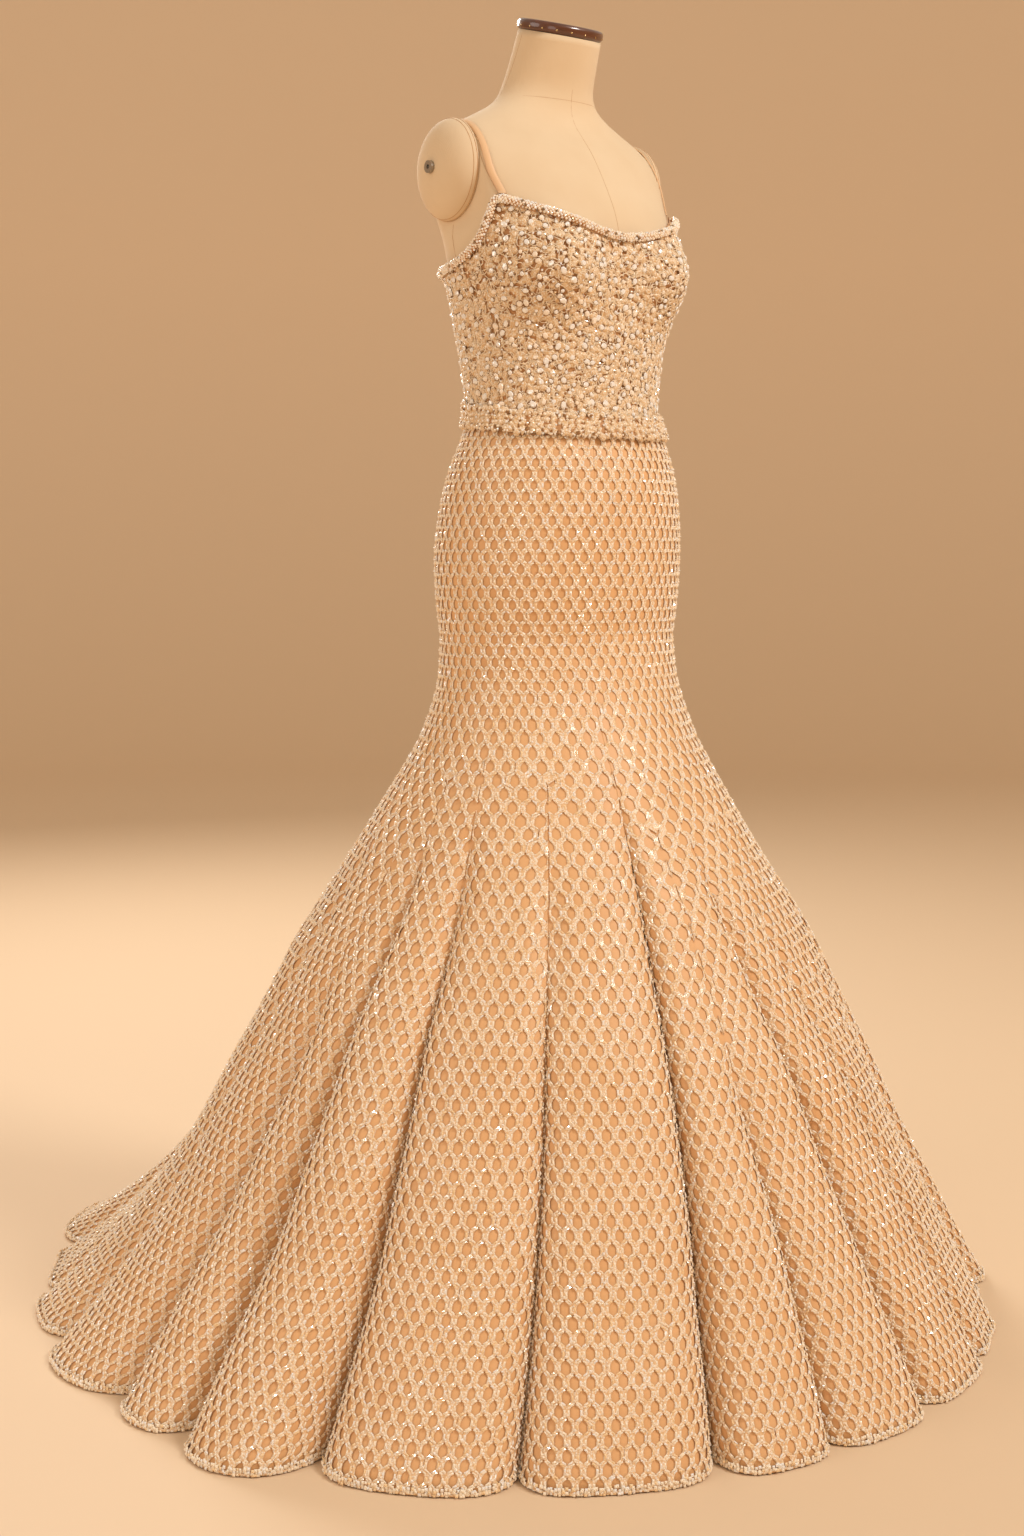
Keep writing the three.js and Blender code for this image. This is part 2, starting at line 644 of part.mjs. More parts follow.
function buildNeckCap() {
  const top = FORM_SECTIONS.at(-1).z;
  const cap = NECK_CAP;
  const thickness = cap.thickness / cap.width;
  const round = cap.round / cap.width;
  const upper = roundedEdge(1, thickness, round);
  const lower = roundedEdge(1, round, round).map(([radius, height]) => [radius, round - height]);
  const profile = [[0, 0], ...lower.reverse(), ...upper, [0, thickness]];
  const solid = turned(profile, SIDES.cap).scale(cap.width, cap.depth, cap.width);
  const piece = addPiece("form_neck_cap", solid, WOOD);
  const tilt = Math.atan(NECK_TILT);
  const seat = new THREE.Vector3(0, -Math.sin(tilt), Math.cos(tilt)).multiplyScalar(SEAM_GAP);
  piece.position.set(0, form.centre(top), top).add(seat);
  piece.rotation.x = tilt;
}

function buildArmPlate(label, side) {
  const plate = ARM_PLATE;
  const group = new THREE.Group();
  group.position.set(side * (plate.x + SEAM_GAP), plate.y, plate.z);
  group.rotation.y = side * Math.PI / 2;
  gown.add(group);
  const flat = Math.acos(plate.flatTop / plate.halfHeight);
  const dome = Array.from({ length: DOME_STEPS + 1 }, (unused, step) => {
    const turn = (step / DOME_STEPS) * flat;
    return [Math.cos(turn), (plate.dome * Math.sin(turn)) / Math.sin(flat)];
  });
  const solid = turned([[0, 0], ...dome, [0, plate.dome]], SIDES.plate);
  solid.scale(plate.halfHeight, plate.halfDepth, 1);
  addPiece(`form_arm_plate_${label}`, solid, LINEN, group);

  const fitting = ARM_FITTING;
  const floor = fitting.length - fitting.boreDepth;
  const profile = [
    [0, 0],
    [fitting.radius, 0],
    [fitting.radius, fitting.length],
    [fitting.bore, fitting.length],
    [fitting.bore, floor],
    [0, floor],
  ];
  const piece = addPiece(`form_arm_fitting_${label}`, turned(profile, SIDES.fitting), STEEL, group);
  piece.position.set(0, 0, plate.dome + SEAM_GAP);
}

function buildStand() {
  const base = BASE;
  const profile = [
    [0, 0],
    [base.radius, 0],
    [base.radius, base.wall],
    [base.radius - base.chamfer, base.thickness],
    [base.hubRadius, base.thickness],
    [base.hubTop, base.hubHeight],
    [0, base.hubHeight],
  ];
  addPiece("form_base", turned(profile, SIDES.base), IRON);
  const height = FORM_SECTIONS[0].z - base.hubHeight - 2 * SEAM_GAP;
  const pole = new THREE.CylinderGeometry(POLE_RADIUS, POLE_RADIUS, height, SIDES.pole);
  const piece = addPiece("form_pole", pole.rotateX(Math.PI / 2), STEEL);
  piece.position.set(0, 0, base.hubHeight + SEAM_GAP + height / 2);
}

buildTorso();
buildNeckCap();
buildArmPlate("left", 1);
buildArmPlate("right", -1);
buildStand();
buildBodice();
buildBelt();
buildTrim();
buildStrap("strap_left", 1);
buildStrap("strap_right", -1);
buildSkirt();

export default gown;
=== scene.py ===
# %% [markdown]
# An evening gown on a dress form
#
# The gown is a fitted bodice covered in beads and corded petals, and a long skirt in seven gores
# under a beaded net. It stands on a linen dress form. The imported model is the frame: it gives the
# places and the sizes, and every piece below is laid on the same surfaces. Lengths are in metres.

# %% Load the frame
import math
import bpy
import numpy as np
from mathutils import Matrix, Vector


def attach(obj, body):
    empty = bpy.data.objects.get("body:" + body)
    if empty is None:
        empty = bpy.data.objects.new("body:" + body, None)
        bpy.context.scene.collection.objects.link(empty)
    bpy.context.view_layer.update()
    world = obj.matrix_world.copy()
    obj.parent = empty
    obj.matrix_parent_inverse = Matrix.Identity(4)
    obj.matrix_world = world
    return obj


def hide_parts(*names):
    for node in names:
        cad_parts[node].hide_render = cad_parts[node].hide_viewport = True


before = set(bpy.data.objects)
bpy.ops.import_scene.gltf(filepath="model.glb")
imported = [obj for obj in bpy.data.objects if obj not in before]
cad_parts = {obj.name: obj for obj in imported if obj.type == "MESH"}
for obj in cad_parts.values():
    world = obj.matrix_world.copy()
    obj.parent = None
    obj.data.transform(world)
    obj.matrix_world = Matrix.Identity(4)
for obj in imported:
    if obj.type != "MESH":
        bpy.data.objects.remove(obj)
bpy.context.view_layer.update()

MM = 0.001

# %% [markdown]
# The camera stands in front of the wearer's right shoulder at the height of the hips, and looks
# slightly down, as in the photograph. It comes first, because every later choice of detail depends
# on what it sees.

# %% Camera
CAMERA = {"azimuth": -40, "distance": 2.6, "height": 0.967, "down": 6.0, "aim_left": 1.32, "lens": 48.75}
SENSOR_WIDTH = 36


def place_camera(azimuth, distance, height, down, aim_left, lens):
    data = bpy.data.cameras.new("camera")
    data.lens = lens
    data.sensor_width = SENSOR_WIDTH
    camera = bpy.data.objects.new("camera", data)
    bpy.context.scene.collection.objects.link(camera)
    side = math.radians(azimuth)
    camera.location = (distance * math.sin(side), -distance * math.cos(side), height)
    turn = math.radians(90 + azimuth + aim_left)
    drop = math.radians(down)
    look = Vector((math.cos(turn) * math.cos(drop), math.sin(turn) * math.cos(drop), -math.sin(drop)))
    camera.rotation_euler = look.to_track_quat("-Z", "Y").to_euler()
    bpy.context.scene.camera = camera
    return camera


camera = place_camera(**CAMERA)
bpy.context.scene.view_settings.view_transform = "Standard"
print("camera at", [round(value, 3) for value in camera.location])

# %% [markdown]
# Shader maths reads best as plain sums. This small class wraps a socket, so that an expression such
# as 1 - mask makes its own Math nodes. Every other node comes from one method of a finish, which
# takes the node's type, its settings and what goes into its sockets.

# %% Sums on sockets, and finishes
MIX_SOCKETS = {"share": 0, "first": 6, "second": 7}
MIX_RESULT = 2
SCREEN = {"low": 0.04045, "slope": 12.92, "lift": 0.055, "power": 2.4}


class Signal:
    """A number that comes out of a shader socket."""

    def __init__(self, finish, socket):
        self.finish = finish
        self.socket = socket

    def sum(self, operation, first, second):
        return self.finish.node("ShaderNodeMath", {"operation": operation}, {0: first, 1: second})

    def __add__(self, other):
        return self.sum("ADD", self, other)

    def __radd__(self, other):
        return self.sum("ADD", other, self)

    def __sub__(self, other):
        return self.sum("SUBTRACT", self, other)

    def __rsub__(self, other):
        return self.sum("SUBTRACT", other, self)

    def __mul__(self, other):
        return self.sum("MULTIPLY", self, other)

    def __rmul__(self, other):
        return self.sum("MULTIPLY", other, self)


class Finish:
    """A material built round one main shader, whose fixed values are set on its own sockets."""

    def __init__(self, name, fixed):
        self.material = bpy.data.materials.new(name)
        self.material.use_nodes = True
        self.tree = self.material.node_tree
        self.shader = self.tree.nodes["Principled BSDF"]
        for socket, value in fixed.items():
            self.shader.inputs[socket].default_value = value

    def node(self, kind, settings, sockets, out=0):
        made = self.tree.nodes.new(kind)
        for setting, value in settings.items():
            setattr(made, setting, value)
        for name, value in sockets.items():
            self.join(value, made.inputs[name])
        return Signal(self, made.outputs[out])

    def join(self, value, target):
        if isinstance(value, Signal):
            self.tree.links.new(value.socket, target)
        else:
            target.default_value = value

    def place(self):
        return self.node("ShaderNodeTexCoord", {}, {}, out="Object")

    def noise(self, scale, detail=2.0):
        sockets = {"Vector": self.place(), "Scale": scale, "Detail": detail}
        return self.node("ShaderNodeTexNoise", {}, sockets)

    def colour(self, share, first, second):
        values = {"share": share, "first": (*first, 1), "second": (*second, 1)}
        sockets = {MIX_SOCKETS[name]: value for name, value in values.items()}
        mixed = self.node("ShaderNodeMix", {"data_type": "RGBA"}, sockets, out=MIX_RESULT)
        self.feed("Base Color", mixed)

    def feed(self, socket, value):
        self.join(value, self.shader.inputs[socket])

    def relief(self, height, depth, strength=1.0):
        sockets = {"Height": height, "Distance": depth, "Strength": strength}
        self.feed("Normal", self.node("ShaderNodeBump", {}, sockets))


def paint(red, green, blue):
    """A screen colour from 0 to 255 as the linear light that a shader takes."""
    shares = np.array([red, green, blue]) / 255
    curved = ((shares + SCREEN["lift"]) / (1 + SCREEN["lift"])) ** SCREEN["power"]
    light = np.where(shares > SCREEN["low"], curved, shares / SCREEN["slope"])
    return tuple(float(share) for share in light)


print("white is", paint(255, 255, 255))

# %% [markdown]
# Cloth first. Satin is smooth with a soft sheen and a weave too fine to see, so only a slow change
# of tone and a faint ripple show. The linen of the form is matt, with an uneven thread in two
# directions, which two patterns of bands give.

# %% Cloth finishes
WAVE_HEIGHT = 1


def satin_finish(name, light, dark, roughness):
    finish = Finish(name, {"Sheen Weight": 0.25, "Sheen Roughness": 0.4, "Specular IOR Level": 0.35})
    finish.colour(finish.noise(scale=9.0), paint(*light), paint(*dark))
    finish.feed("Roughness", roughness + 0.12 * finish.noise(scale=40.0))
    finish.relief(finish.noise(scale=260.0, detail=3.0), depth=0.3 * MM, strength=0.35)
    return finish.material


def linen_finish():
    finish = Finish("linen", {"Sheen Weight": 0.2, "Specular IOR Level": 0.25})
    tone = finish.noise(scale=14.0, detail=4.0)
    finish.colour(tone, paint(236, 214, 181), paint(226, 199, 162))
    finish.feed("Roughness", 0.8 + 0.1 * tone)
    bands = {"Vector": finish.place(), "Scale": 420.0, "Distortion": 1.5}
    threads = []
    for direction in ("Z", "X"):
        settings = {"wave_type": "BANDS", "bands_direction": direction}
        threads.append(finish.node("ShaderNodeTexWave", settings, bands, out=WAVE_HEIGHT))
    finish.relief(threads[0] + threads[1], depth=0.12 * MM, strength=0.5)
    return finish.material


SATIN = satin_finish("nude satin", (240, 192, 140), (229, 175, 120), 0.42)
# Painted shade: the lace ground is darker than the satin, partly its own nude colour and partly painted shade
# for the gaps between petals and beads.
LACE_GROUND_WITH_PAINTED_SHADE = satin_finish("nude lace ground with painted shade", (210, 160, 110), (182, 130, 84), 0.6)
STRAP_SATIN = satin_finish("strap satin", (240, 202, 160), (230, 188, 142), 0.35)
SEAM_LINE = satin_finish("seam thread", (214, 172, 124), (194, 150, 104), 0.7)
LINEN = linen_finish()
print("cloth finishes:", [cloth.name for cloth in (SATIN, LACE_GROUND_WITH_PAINTED_SHADE, STRAP_SATIN, SEAM_LINE, LINEN)])

# %% [markdown]
# Beads are glass and pearl. Three finishes are mixed along every strand: an ivory bead, a golden
# one, and a clear cut one that flashes. Their tone still drifts from place to place, as dyed lots
# do, and the cut ones keep a very smooth face so that the lights show in them. The bodice and the
# belt also have pearls, corded thread, dark foiled stones, and settings of old brass.

# %% Bead finishes
def bead_finish(name, light, dark, fixed, roughness, spread):
    finish = Finish(name, fixed)
    tone = finish.noise(scale=55.0, detail=1.0)
    finish.colour(tone, paint(*light), paint(*dark))
    finish.feed("Roughness", roughness + spread * tone)
    return finish.material


IVORY_BEAD = bead_finish("ivory bead", (255, 246, 228), (252, 234, 206), {"Coat Weight": 0.4}, 0.3, 0.15)
GOLD_BEAD = bead_finish("golden bead", (252, 228, 188), (246, 210, 160), {"Coat Weight": 0.5}, 0.25, 0.15)
CRYSTAL = {"Metallic": 0.15, "Coat Weight": 1.0, "Coat Roughness": 0.05}
CUT_BEAD = bead_finish("cut crystal bead", (255, 255, 255), (255, 250, 240), CRYSTAL, 0.1, 0.1)
LUSTRE = {"Coat Weight": 0.8, "Sheen Weight": 0.2}
PEARL = bead_finish("pearl", (255, 246, 232), (250, 228, 200), LUSTRE, 0.18, 0.1)
SILVER_CORD = bead_finish("corded thread", (255, 240, 214), (244, 216, 176), {"Sheen Weight": 0.3}, 0.4, 0.2)
DARK_CUT = bead_finish("dark foiled crystal", (120, 100, 82), (200, 180, 150), {"Metallic": 0.9}, 0.12, 0.1)
SETTING = bead_finish("old brass setting", (136, 96, 58), (168, 124, 78), {"Metallic": 0.5}, 0.4, 0.15)
STRAND_MIX = [IVORY_BEAD, GOLD_BEAD, CUT_BEAD]
print("bead finishes:", [bead.name for bead in (*STRAND_MIX, PEARL, SILVER_CORD, DARK_CUT, SETTING)])

# %% [markdown]
# The knotted thread of the net and the raised petals of the bodice are covered in beads too fine to
# build one by one. A pattern of round cells stands for them, raised a little: pale in the middle of
# each, the beads' own colour, and darker towards the gaps, which is painted shade between the beads.

# %% Finely beaded finishes
def fine_bead_finish_with_painted_shade(name, light, dark, scale, depth):
    finish = Finish(name, {"Coat Weight": 0.25, "Specular IOR Level": 0.4})
    cells = finish.node("ShaderNodeTexVoronoi", {}, {"Vector": finish.place(), "Scale": scale})
    # Painted shade: each cell is pale in its middle and darkens towards the gaps between the beads.
    finish.colour(cells * 1.5, paint(*light), paint(*dark))
    finish.feed("Roughness", 0.35 + 0.3 * cells)
    finish.relief(1 - cells, depth, strength=0.7)
    return finish.material


NET_THREAD = fine_bead_finish_with_painted_shade("finely beaded thread", (255, 249, 236), (234, 194, 146), 430.0, 0.7 * MM)
PETAL_PAD = fine_bead_finish_with_painted_shade("finely beaded petal", (253, 244, 226), (222, 184, 136), 480.0, 0.6 * MM)
print("fine finishes:", [fine.name for fine in (NET_THREAD, PETAL_PAD)])

# %% [markdown]
# The hard parts of the form are a varnished neck cap with brass nails, brushed steel and black
# iron. The grain of each is one long noise, stretched along it.

# %% Hard finishes
def stretched_noise(finish, scale, detail):
    mapping = {"Vector": finish.place(), "Scale": scale}
    stretch = finish.node("ShaderNodeMapping", {}, mapping)
    sockets = {"Vector": stretch, "Scale": 1.0, "Detail": detail}
    return finish.node("ShaderNodeTexNoise", {}, sockets)


def wood_finish():
    finish = Finish("varnished dark wood", {"Coat Weight": 0.9, "Coat Roughness": 0.08})
    grain = stretched_noise(finish, (18.0, 160.0, 160.0), detail=5.0)
    finish.colour(grain, paint(58, 26, 14), paint(112, 58, 30))
    finish.feed("Roughness", 0.25 + 0.2 * grain)
    finish.relief(grain, depth=0.2 * MM, strength=0.4)
    return finish.material


def metal_finish(name, light, dark, metallic, roughness):
    finish = Finish(name, {"Metallic": metallic})
    brush = stretched_noise(finish, (900.0, 900.0, 40.0), detail=3.0)
    finish.colour(brush, paint(*light), paint(*dark))
    finish.feed("Roughness", roughness + 0.15 * brush)
    finish.relief(brush, depth=0.05 * MM, strength=0.3)
    return finish.material


WOOD = wood_finish()
STEEL = metal_finish("brushed steel", (190, 186, 180), (150, 146, 140), 1.0, 0.25)
IRON = metal_finish("black iron", (44, 44, 46), (30, 30, 32), 0.6, 0.45)
BRASS = metal_finish("brass nail", (224, 200, 150), (200, 170, 110), 1.0, 0.15)
print("hard finishes:", [hard.name for hard in (WOOD, STEEL, IRON, BRASS)])

# %% [markdown]
# A pale studio and large soft lights. The main one is high, in front of the gown and to the right
# of the camera. A wide one fills the left side, a weak one stands low near the camera, and one from
# behind draws the edges of the beads. The floor's colour is painted lighter with its height, so its
# edge, swept up into a wall, gets painted light.

# %% Floor and lights
PEACH = (1, 0.97, 0.93)
ROSE = (1, 0.96, 0.92)
LIGHTS = [
    {"name": "main", "turn": 18, "distance": 3.0, "height": 3.6, "size": 1.0, "power": 88, "tint": PEACH},
    {"name": "fill", "turn": -100, "distance": 3.4, "height": 2.0, "size": 2.0, "power": 20, "tint": PEACH},
    {"name": "low front", "turn": -50, "distance": 3.6, "height": 0.9, "size": 1.4, "power": 8, "tint": ROSE},
    {"name": "behind", "turn": 165, "distance": 3.4, "height": 2.8, "size": 1.6, "power": 70, "tint": PEACH},
]
LIGHT_AIM = Vector((0, 0, 0.9))
WORLD = {"colour": (240, 222, 200), "strength": 0.62}
FLOOR_PAINTED_LIGHT = {"rise": 0.4, "floor": (232, 205, 172), "wall": (252, 229, 200)}


def add_light(name, turn, distance, height, size, power, tint):
    data = bpy.data.lights.new(name, "AREA")
    data.shape = "DISK"
    data.size = size
    data.energy = power
    data.color = tint
    light = bpy.data.objects.new(name, data)
    bpy.context.scene.collection.objects.link(light)
    side = math.radians(turn)
    light.location = (distance * math.sin(side), -distance * math.cos(side), height)
    light.rotation_euler = (LIGHT_AIM - light.location).to_track_quat("-Z", "Y").to_euler()


for row in LIGHTS:
    add_light(**row)

world = bpy.data.worlds.new("studio")
world.use_nodes = True
background = world.node_tree.nodes["Background"]
background.inputs["Color"].default_value = (*paint(*WORLD["colour"]), 1)
background.inputs["Strength"].default_value = WORLD["strength"]
bpy.context.scene.world = world

# Painted light: the floor's colour grows lighter with height, so the swept-up wall is painted brighter than
# the floor.
floor_finish = Finish("studio floor", {"Roughness": 0.7})
height = floor_finish.node("ShaderNodeSeparateXYZ", {}, {"Vector": floor_finish.place()}, out="Z")
tones = [paint(*FLOOR_PAINTED_LIGHT[end]) for end in ("floor", "wall")]
floor_finish.colour(FLOOR_PAINTED_LIGHT["rise"] * height, *tones)
print(len(LIGHTS), "lights in the studio")

# %% [markdown]
# The gown is worked out from short tables, one row for each level or fold, the same as the packed
# model's. A smooth curve runs through each column. Everything is worked on whole arrays at once,
# because there are more than a hundred thousand beads.

# %% Tables and curves
TINY = 1e-12
UP = np.array([0.0, 0.0, 1.0])
LEVEL = np.array([1, 1, 0])


def table(columns, rows):
    """Named columns of numbers."""
    return dict(zip(columns.split(), np.array(rows, float).T))


def curve(along, values):
    """A smooth curve through points, which may be read at many places at once."""
    order = np.argsort(along)
    x = along[order]
    y = values[order]
    before = np.maximum(np.arange(len(x)) - 1, 0)
    after = np.minimum(np.arange(len(x)) + 1, len(x) - 1)
    slope = (y[after] - y[before]) / (x[after] - x[before])

    def at(place):
        index = np.clip(np.searchsorted(x, place) - 1, 0, len(x) - 2)
        span = x[index + 1] - x[index]
        t = np.clip((place - x[index]) / span, 0, 1)
        rise = 3 * t**2 - 2 * t**3
        leave = t * (1 - t) ** 2 * span * slope[index]
        arrive = t**2 * (t - 1) * span * slope[index + 1]
        return y[index] + (y[index + 1] - y[index]) * rise + leave + arrive

    return at


def smooth_share(value, low, high):
    """From 0 at low to 1 at high, with soft ends."""
    t = np.clip((value - low) / (high - low), 0, 1)
    return t * t * (3 - 2 * t)


def mix(first, second, share):
    return first + (second - first) * share


def unit(vectors):
    return vectors / np.linalg.norm(vectors, axis=-1, keepdims=True)


def spin_pair(first, second, spin):
    """Two directions turned by spin in their own plane."""
    turned = np.cos(spin) * first + np.sin(spin) * second
    beside = np.cos(spin) * second - np.sin(spin) * first
    return turned, beside


FORM_SECTIONS = table("z width front back centre", [
    (800, 148, 104, 106, 4), (860, 155, 113, 113, 4), (910, 160, 120, 119, 4), (960, 161, 125, 122, 4),
    (1010, 156, 126, 119, 2), (1060, 146, 120, 107, 0), (1100, 131, 108, 93, -2), (1126, 124, 98, 88, -2),
    (1150, 124, 96, 88, -1), (1200, 130, 100, 94, 0), (1250, 137, 107, 102, 3), (1300, 145, 114, 107, 8),
    (1335, 149, 118, 108, 13), (1360, 155, 118, 108, 18), (1385, 161, 112, 104, 23), (1417, 166, 100, 96, 29),
    (1441, 162, 88, 83, 33), (1459, 151, 76, 69, 36), (1472, 133, 66, 58, 37), (1484, 110, 59, 50, 37),
    (1495, 88, 55, 45, 36), (1506, 72, 53, 43, 34), (1522, 62, 52, 44, 30), (1555, 56, 49, 46, 16),
    (1586, 53, 47, 45, 4),
])
FORM = {
    column: curve(FORM_SECTIONS["z"] * MM, FORM_SECTIONS[column] * MM)
    for column in ("width", "front", "back", "centre")
}
FORM_TOP = 1586 * MM
FORM_FOOT = 800 * MM
print("the form has", len(FORM_SECTIONS["z"]), "levels")

# %% [markdown]
# The surface of the form is a function of the angle round the pole and the height. The arm plates
# cut the shoulders off flat, the bust stands ahead of its section, and the top of the neck leans.
# All cloth on the body is this surface moved out level.

# %% The surface of the form
BUST = {
    "x": 93 * MM, "z": 1295 * MM, "height": 37 * MM,
    "across": 54 * MM, "above": 58 * MM, "below": 48 * MM,
}
BUST_REACH = 0.4
NECK_TILT = 0.27
NECK_TILT_FROM = 1520 * MM
ARM_PLATE = {
    "x": 140 * MM, "y": 37 * MM, "z": 1417 * MM,
    "half_depth": 55 * MM, "half_height": 60 * MM, "dome": 30 * MM,
}
ARM_ROUND = 5 * MM
ARM_FLARE = 0.4
WALL = 2 * MM
FORM_GAP = 2.6 * MM
SEAM_GAP = 0.3 * MM


def bust_at(x, z):
    height = (z - BUST["z"]) / np.where(z > BUST["z"], BUST["above"], BUST["below"])
    left = (x - BUST["x"]) / BUST["across"]
    right = (x + BUST["x"]) / BUST["across"]
    return BUST["height"] * (np.exp(-(left**2)) + np.exp(-(right**2))) * np.exp(-(height**2))


def arm_plane(z):
    below = ARM_PLATE["z"] - ARM_PLATE["half_height"] - z
    return ARM_PLATE["x"] + np.maximum(below, 0) * ARM_FLARE


def form_point(angle, z):
    angle, z = np.broadcast_arrays(angle, z)
    ahead = np.cos(angle)
    side = FORM["width"](z) * np.sin(angle)
    over = np.clip((np.abs(side) - arm_plane(z) + ARM_ROUND) / (2 * ARM_ROUND), 0, 1)
    x = np.sign(side) * (np.minimum(np.abs(side), arm_plane(z)) - ARM_ROUND * over * (1 - over))
    depth = np.where(ahead > 0, FORM["front"](z), FORM["back"](z))
    y = FORM["centre"](z) - depth * ahead - bust_at(x, z) * smooth_share(ahead, 0, BUST_REACH)
    tilt = np.maximum(z - NECK_TILT_FROM, 0) / (FORM_TOP - NECK_TILT_FROM)
    return np.stack([x, y, z + tilt * NECK_TILT * (y - FORM["centre"](z))], axis=-1)


def form_normal(angle, z):
    turn = math.radians(1)
    rise = 2 * MM
    across = form_point(angle + turn, z) - form_point(angle - turn, z)
    up = form_point(angle, z + rise) - form_point(angle, z - rise)
    return unit(np.cross(across, up))


def off_form(angle, z, distance):
    """A point at a distance off the form, moved out level."""
    normal = form_normal(angle, z)
    level = unit(normal * LEVEL)
    reach = distance / np.sum(normal * level, axis=-1)
    return form_point(angle, z) + level * reach[..., None]


WAIST_Z = 1124 * MM
WAIST_DROP = 12 * MM


def waist_z(angle):
    return WAIST_Z - WAIST_DROP * np.cos(angle)


print("front of the form at the bust:", form_point(0, BUST["z"]).round(3))

# %% [markdown]
# Small makers of meshes. A grid of points becomes a sheet, and a sheet becomes thin cloth when a
# second grid lies inside it and the edges are closed. Rings of points get a lid at each end. A tube
# follows a line. Arrays go straight into the mesh, because that is far quicker than adding one face
# at a time.

# %% Meshes from arrays
def mesh_piece(name, points, faces, materials, index=None, smooth=True):
    """A piece from points and faces. All faces have the same number of corners."""
    faces = np.asarray(faces)
    corners = faces.shape[1]
    mesh = bpy.data.meshes.new(name)
    mesh.vertices.add(len(points))
    mesh.vertices.foreach_set("co", np.asarray(points, np.float32).ravel())
    mesh.loops.add(faces.size)
    mesh.loops.foreach_set("vertex_index", faces.astype(np.int32).ravel())
    mesh.polygons.add(len(faces))
    mesh.polygons.foreach_set("loop_start", np.arange(0, faces.size, corners, dtype=np.int32))
    for material in materials:
        mesh.materials.append(material)
    if index is not None:
        mesh.polygons.foreach_set("material_index", np.asarray(index, np.int32))
    mesh.polygons.foreach_set("use_smooth", np.full(len(faces), smooth))
    mesh.update(calc_edges=True)
    piece = bpy.data.objects.new(name, mesh)
    bpy.context.scene.collection.objects.link(piece)
    return piece


def grid_faces(rows, columns, start=0, closed=False):
    """Four-cornered faces between the points of a grid, row by row."""
    across = np.arange(columns if closed else columns - 1)
    row = np.arange(rows - 1)[:, None] * columns + start
    after = (across + 1) % columns
    corners = [row + across, row + after, row + columns + after, row + columns + across]
    return np.stack(corners, -1).reshape(-1, 4)


def split_quads(faces):
    """Two triangles for every four-cornered face."""
    return [faces[:, [0, 1, 2]], faces[:, [0, 2, 3]]]


def lid_faces(ring, tip, below=False):
    """Triangles from each side of a ring of points to one more point above or below it."""
    after = np.roll(ring, -1)
    sides = [after, ring] if below else [ring, after]
    return np.stack([*sides, np.full(len(ring), tip)], -1)


def full_turn(sides):
    """Even steps once round, in radians."""
    return np.linspace(0, 2 * math.pi, sides, endpoint=False)


def run_along(line):
    """How far along a line of points each of them lies."""
    return np.concatenate([[0], np.cumsum(np.linalg.norm(np.diff(line, axis=0), axis=-1))])


def lidded_piece(name, rings, material, flip=False):
    """Closed rings of points, one after the other, with a lid at each end."""
    rows, sides = rings.shape[:2]
    points = rings.reshape(-1, 3)
    first = np.arange(sides)
    last = first + (rows - 1) * sides
    lids = [lid_faces(first, len(points), below=True), lid_faces(last, len(points) + 1)]
    faces = np.concatenate([*split_quads(grid_faces(rows, sides, closed=True)), *lids])
    centres = np.stack([rings[0].mean(0), rings[-1].mean(0)])
    return mesh_piece(name, np.concatenate([points, centres]), faces[:, ::-1] if flip else faces, [material])


def cloth_piece(name, outer, inner, material):
    """Thin cloth between two grids, which run up and then round the gown."""
    rows, columns = outer.shape[:2]
    count = rows * columns
    faces = [grid_faces(rows, columns), grid_faces(rows, columns, count)[:, ::-1]]
    numbers = np.arange(count).reshape(rows, columns)
    for edge in (numbers[0][::-1], numbers[-1], numbers[:, 0], numbers[:, -1][::-1]):
        faces.append(np.stack([edge[:-1], edge[1:], edge[1:] + count, edge[:-1] + count], -1))
    points = np.concatenate([outer.reshape(-1, 3), inner.reshape(-1, 3)])
    return mesh_piece(name, points, np.concatenate(faces), [material])


def tube_piece(name, lines, radius, material, sides=6, closed=False):
    """Round cord along one or more lines of points, as (line, normals) pairs."""
    points, faces, start = [], [], 0
    turns = full_turn(sides)
    for line, normals in lines:
        step = np.roll(line, -1, 0) - np.roll(line, 1, 0) if closed else np.gradient(line, axis=0)
        along = unit(step)
        side = unit(np.cross(along, normals))
        up = np.cross(side, along)
        ring = np.cos(turns)[:, None] * side[:, None] + np.sin(turns)[:, None] * up[:, None]
        points.append((line[:, None] + ring * radius).reshape(-1, 3))
        faces.append(grid_faces(len(line), sides, start, closed=True))
        if closed:
            last = start + (len(line) - 1) * sides + np.arange(sides)
            first = start + np.arange(sides)
            joint = [last, np.roll(last, -1), np.roll(first, -1), first]
            faces.append(np.stack(joint, -1))
        start += len(line) * sides
    return mesh_piece(name, np.concatenate(points), np.concatenate(faces), [material])


def settle(piece, slot, *nodes):
    """A finished piece rides on the gown's one body and stands for its nodes."""
    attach(piece, "root")
    if nodes:
        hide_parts(*nodes)
    return piece


print("mesh makers ready")

# %% [markdown]
# The floor is pale and round. It is a flat disc whose edge bends up in a quarter circle and goes on
# as a wall, as a paper roll does in a studio, so no line shows where it ends.

# %% Floor
SWEEP = {"flat": 6.5, "bend": 2.5, "wall": 5.0, "steps": 16, "sides": 96, "drop": 0.5 * MM}
FLAT_RINGS = [0.01, 1.0, 3.0]


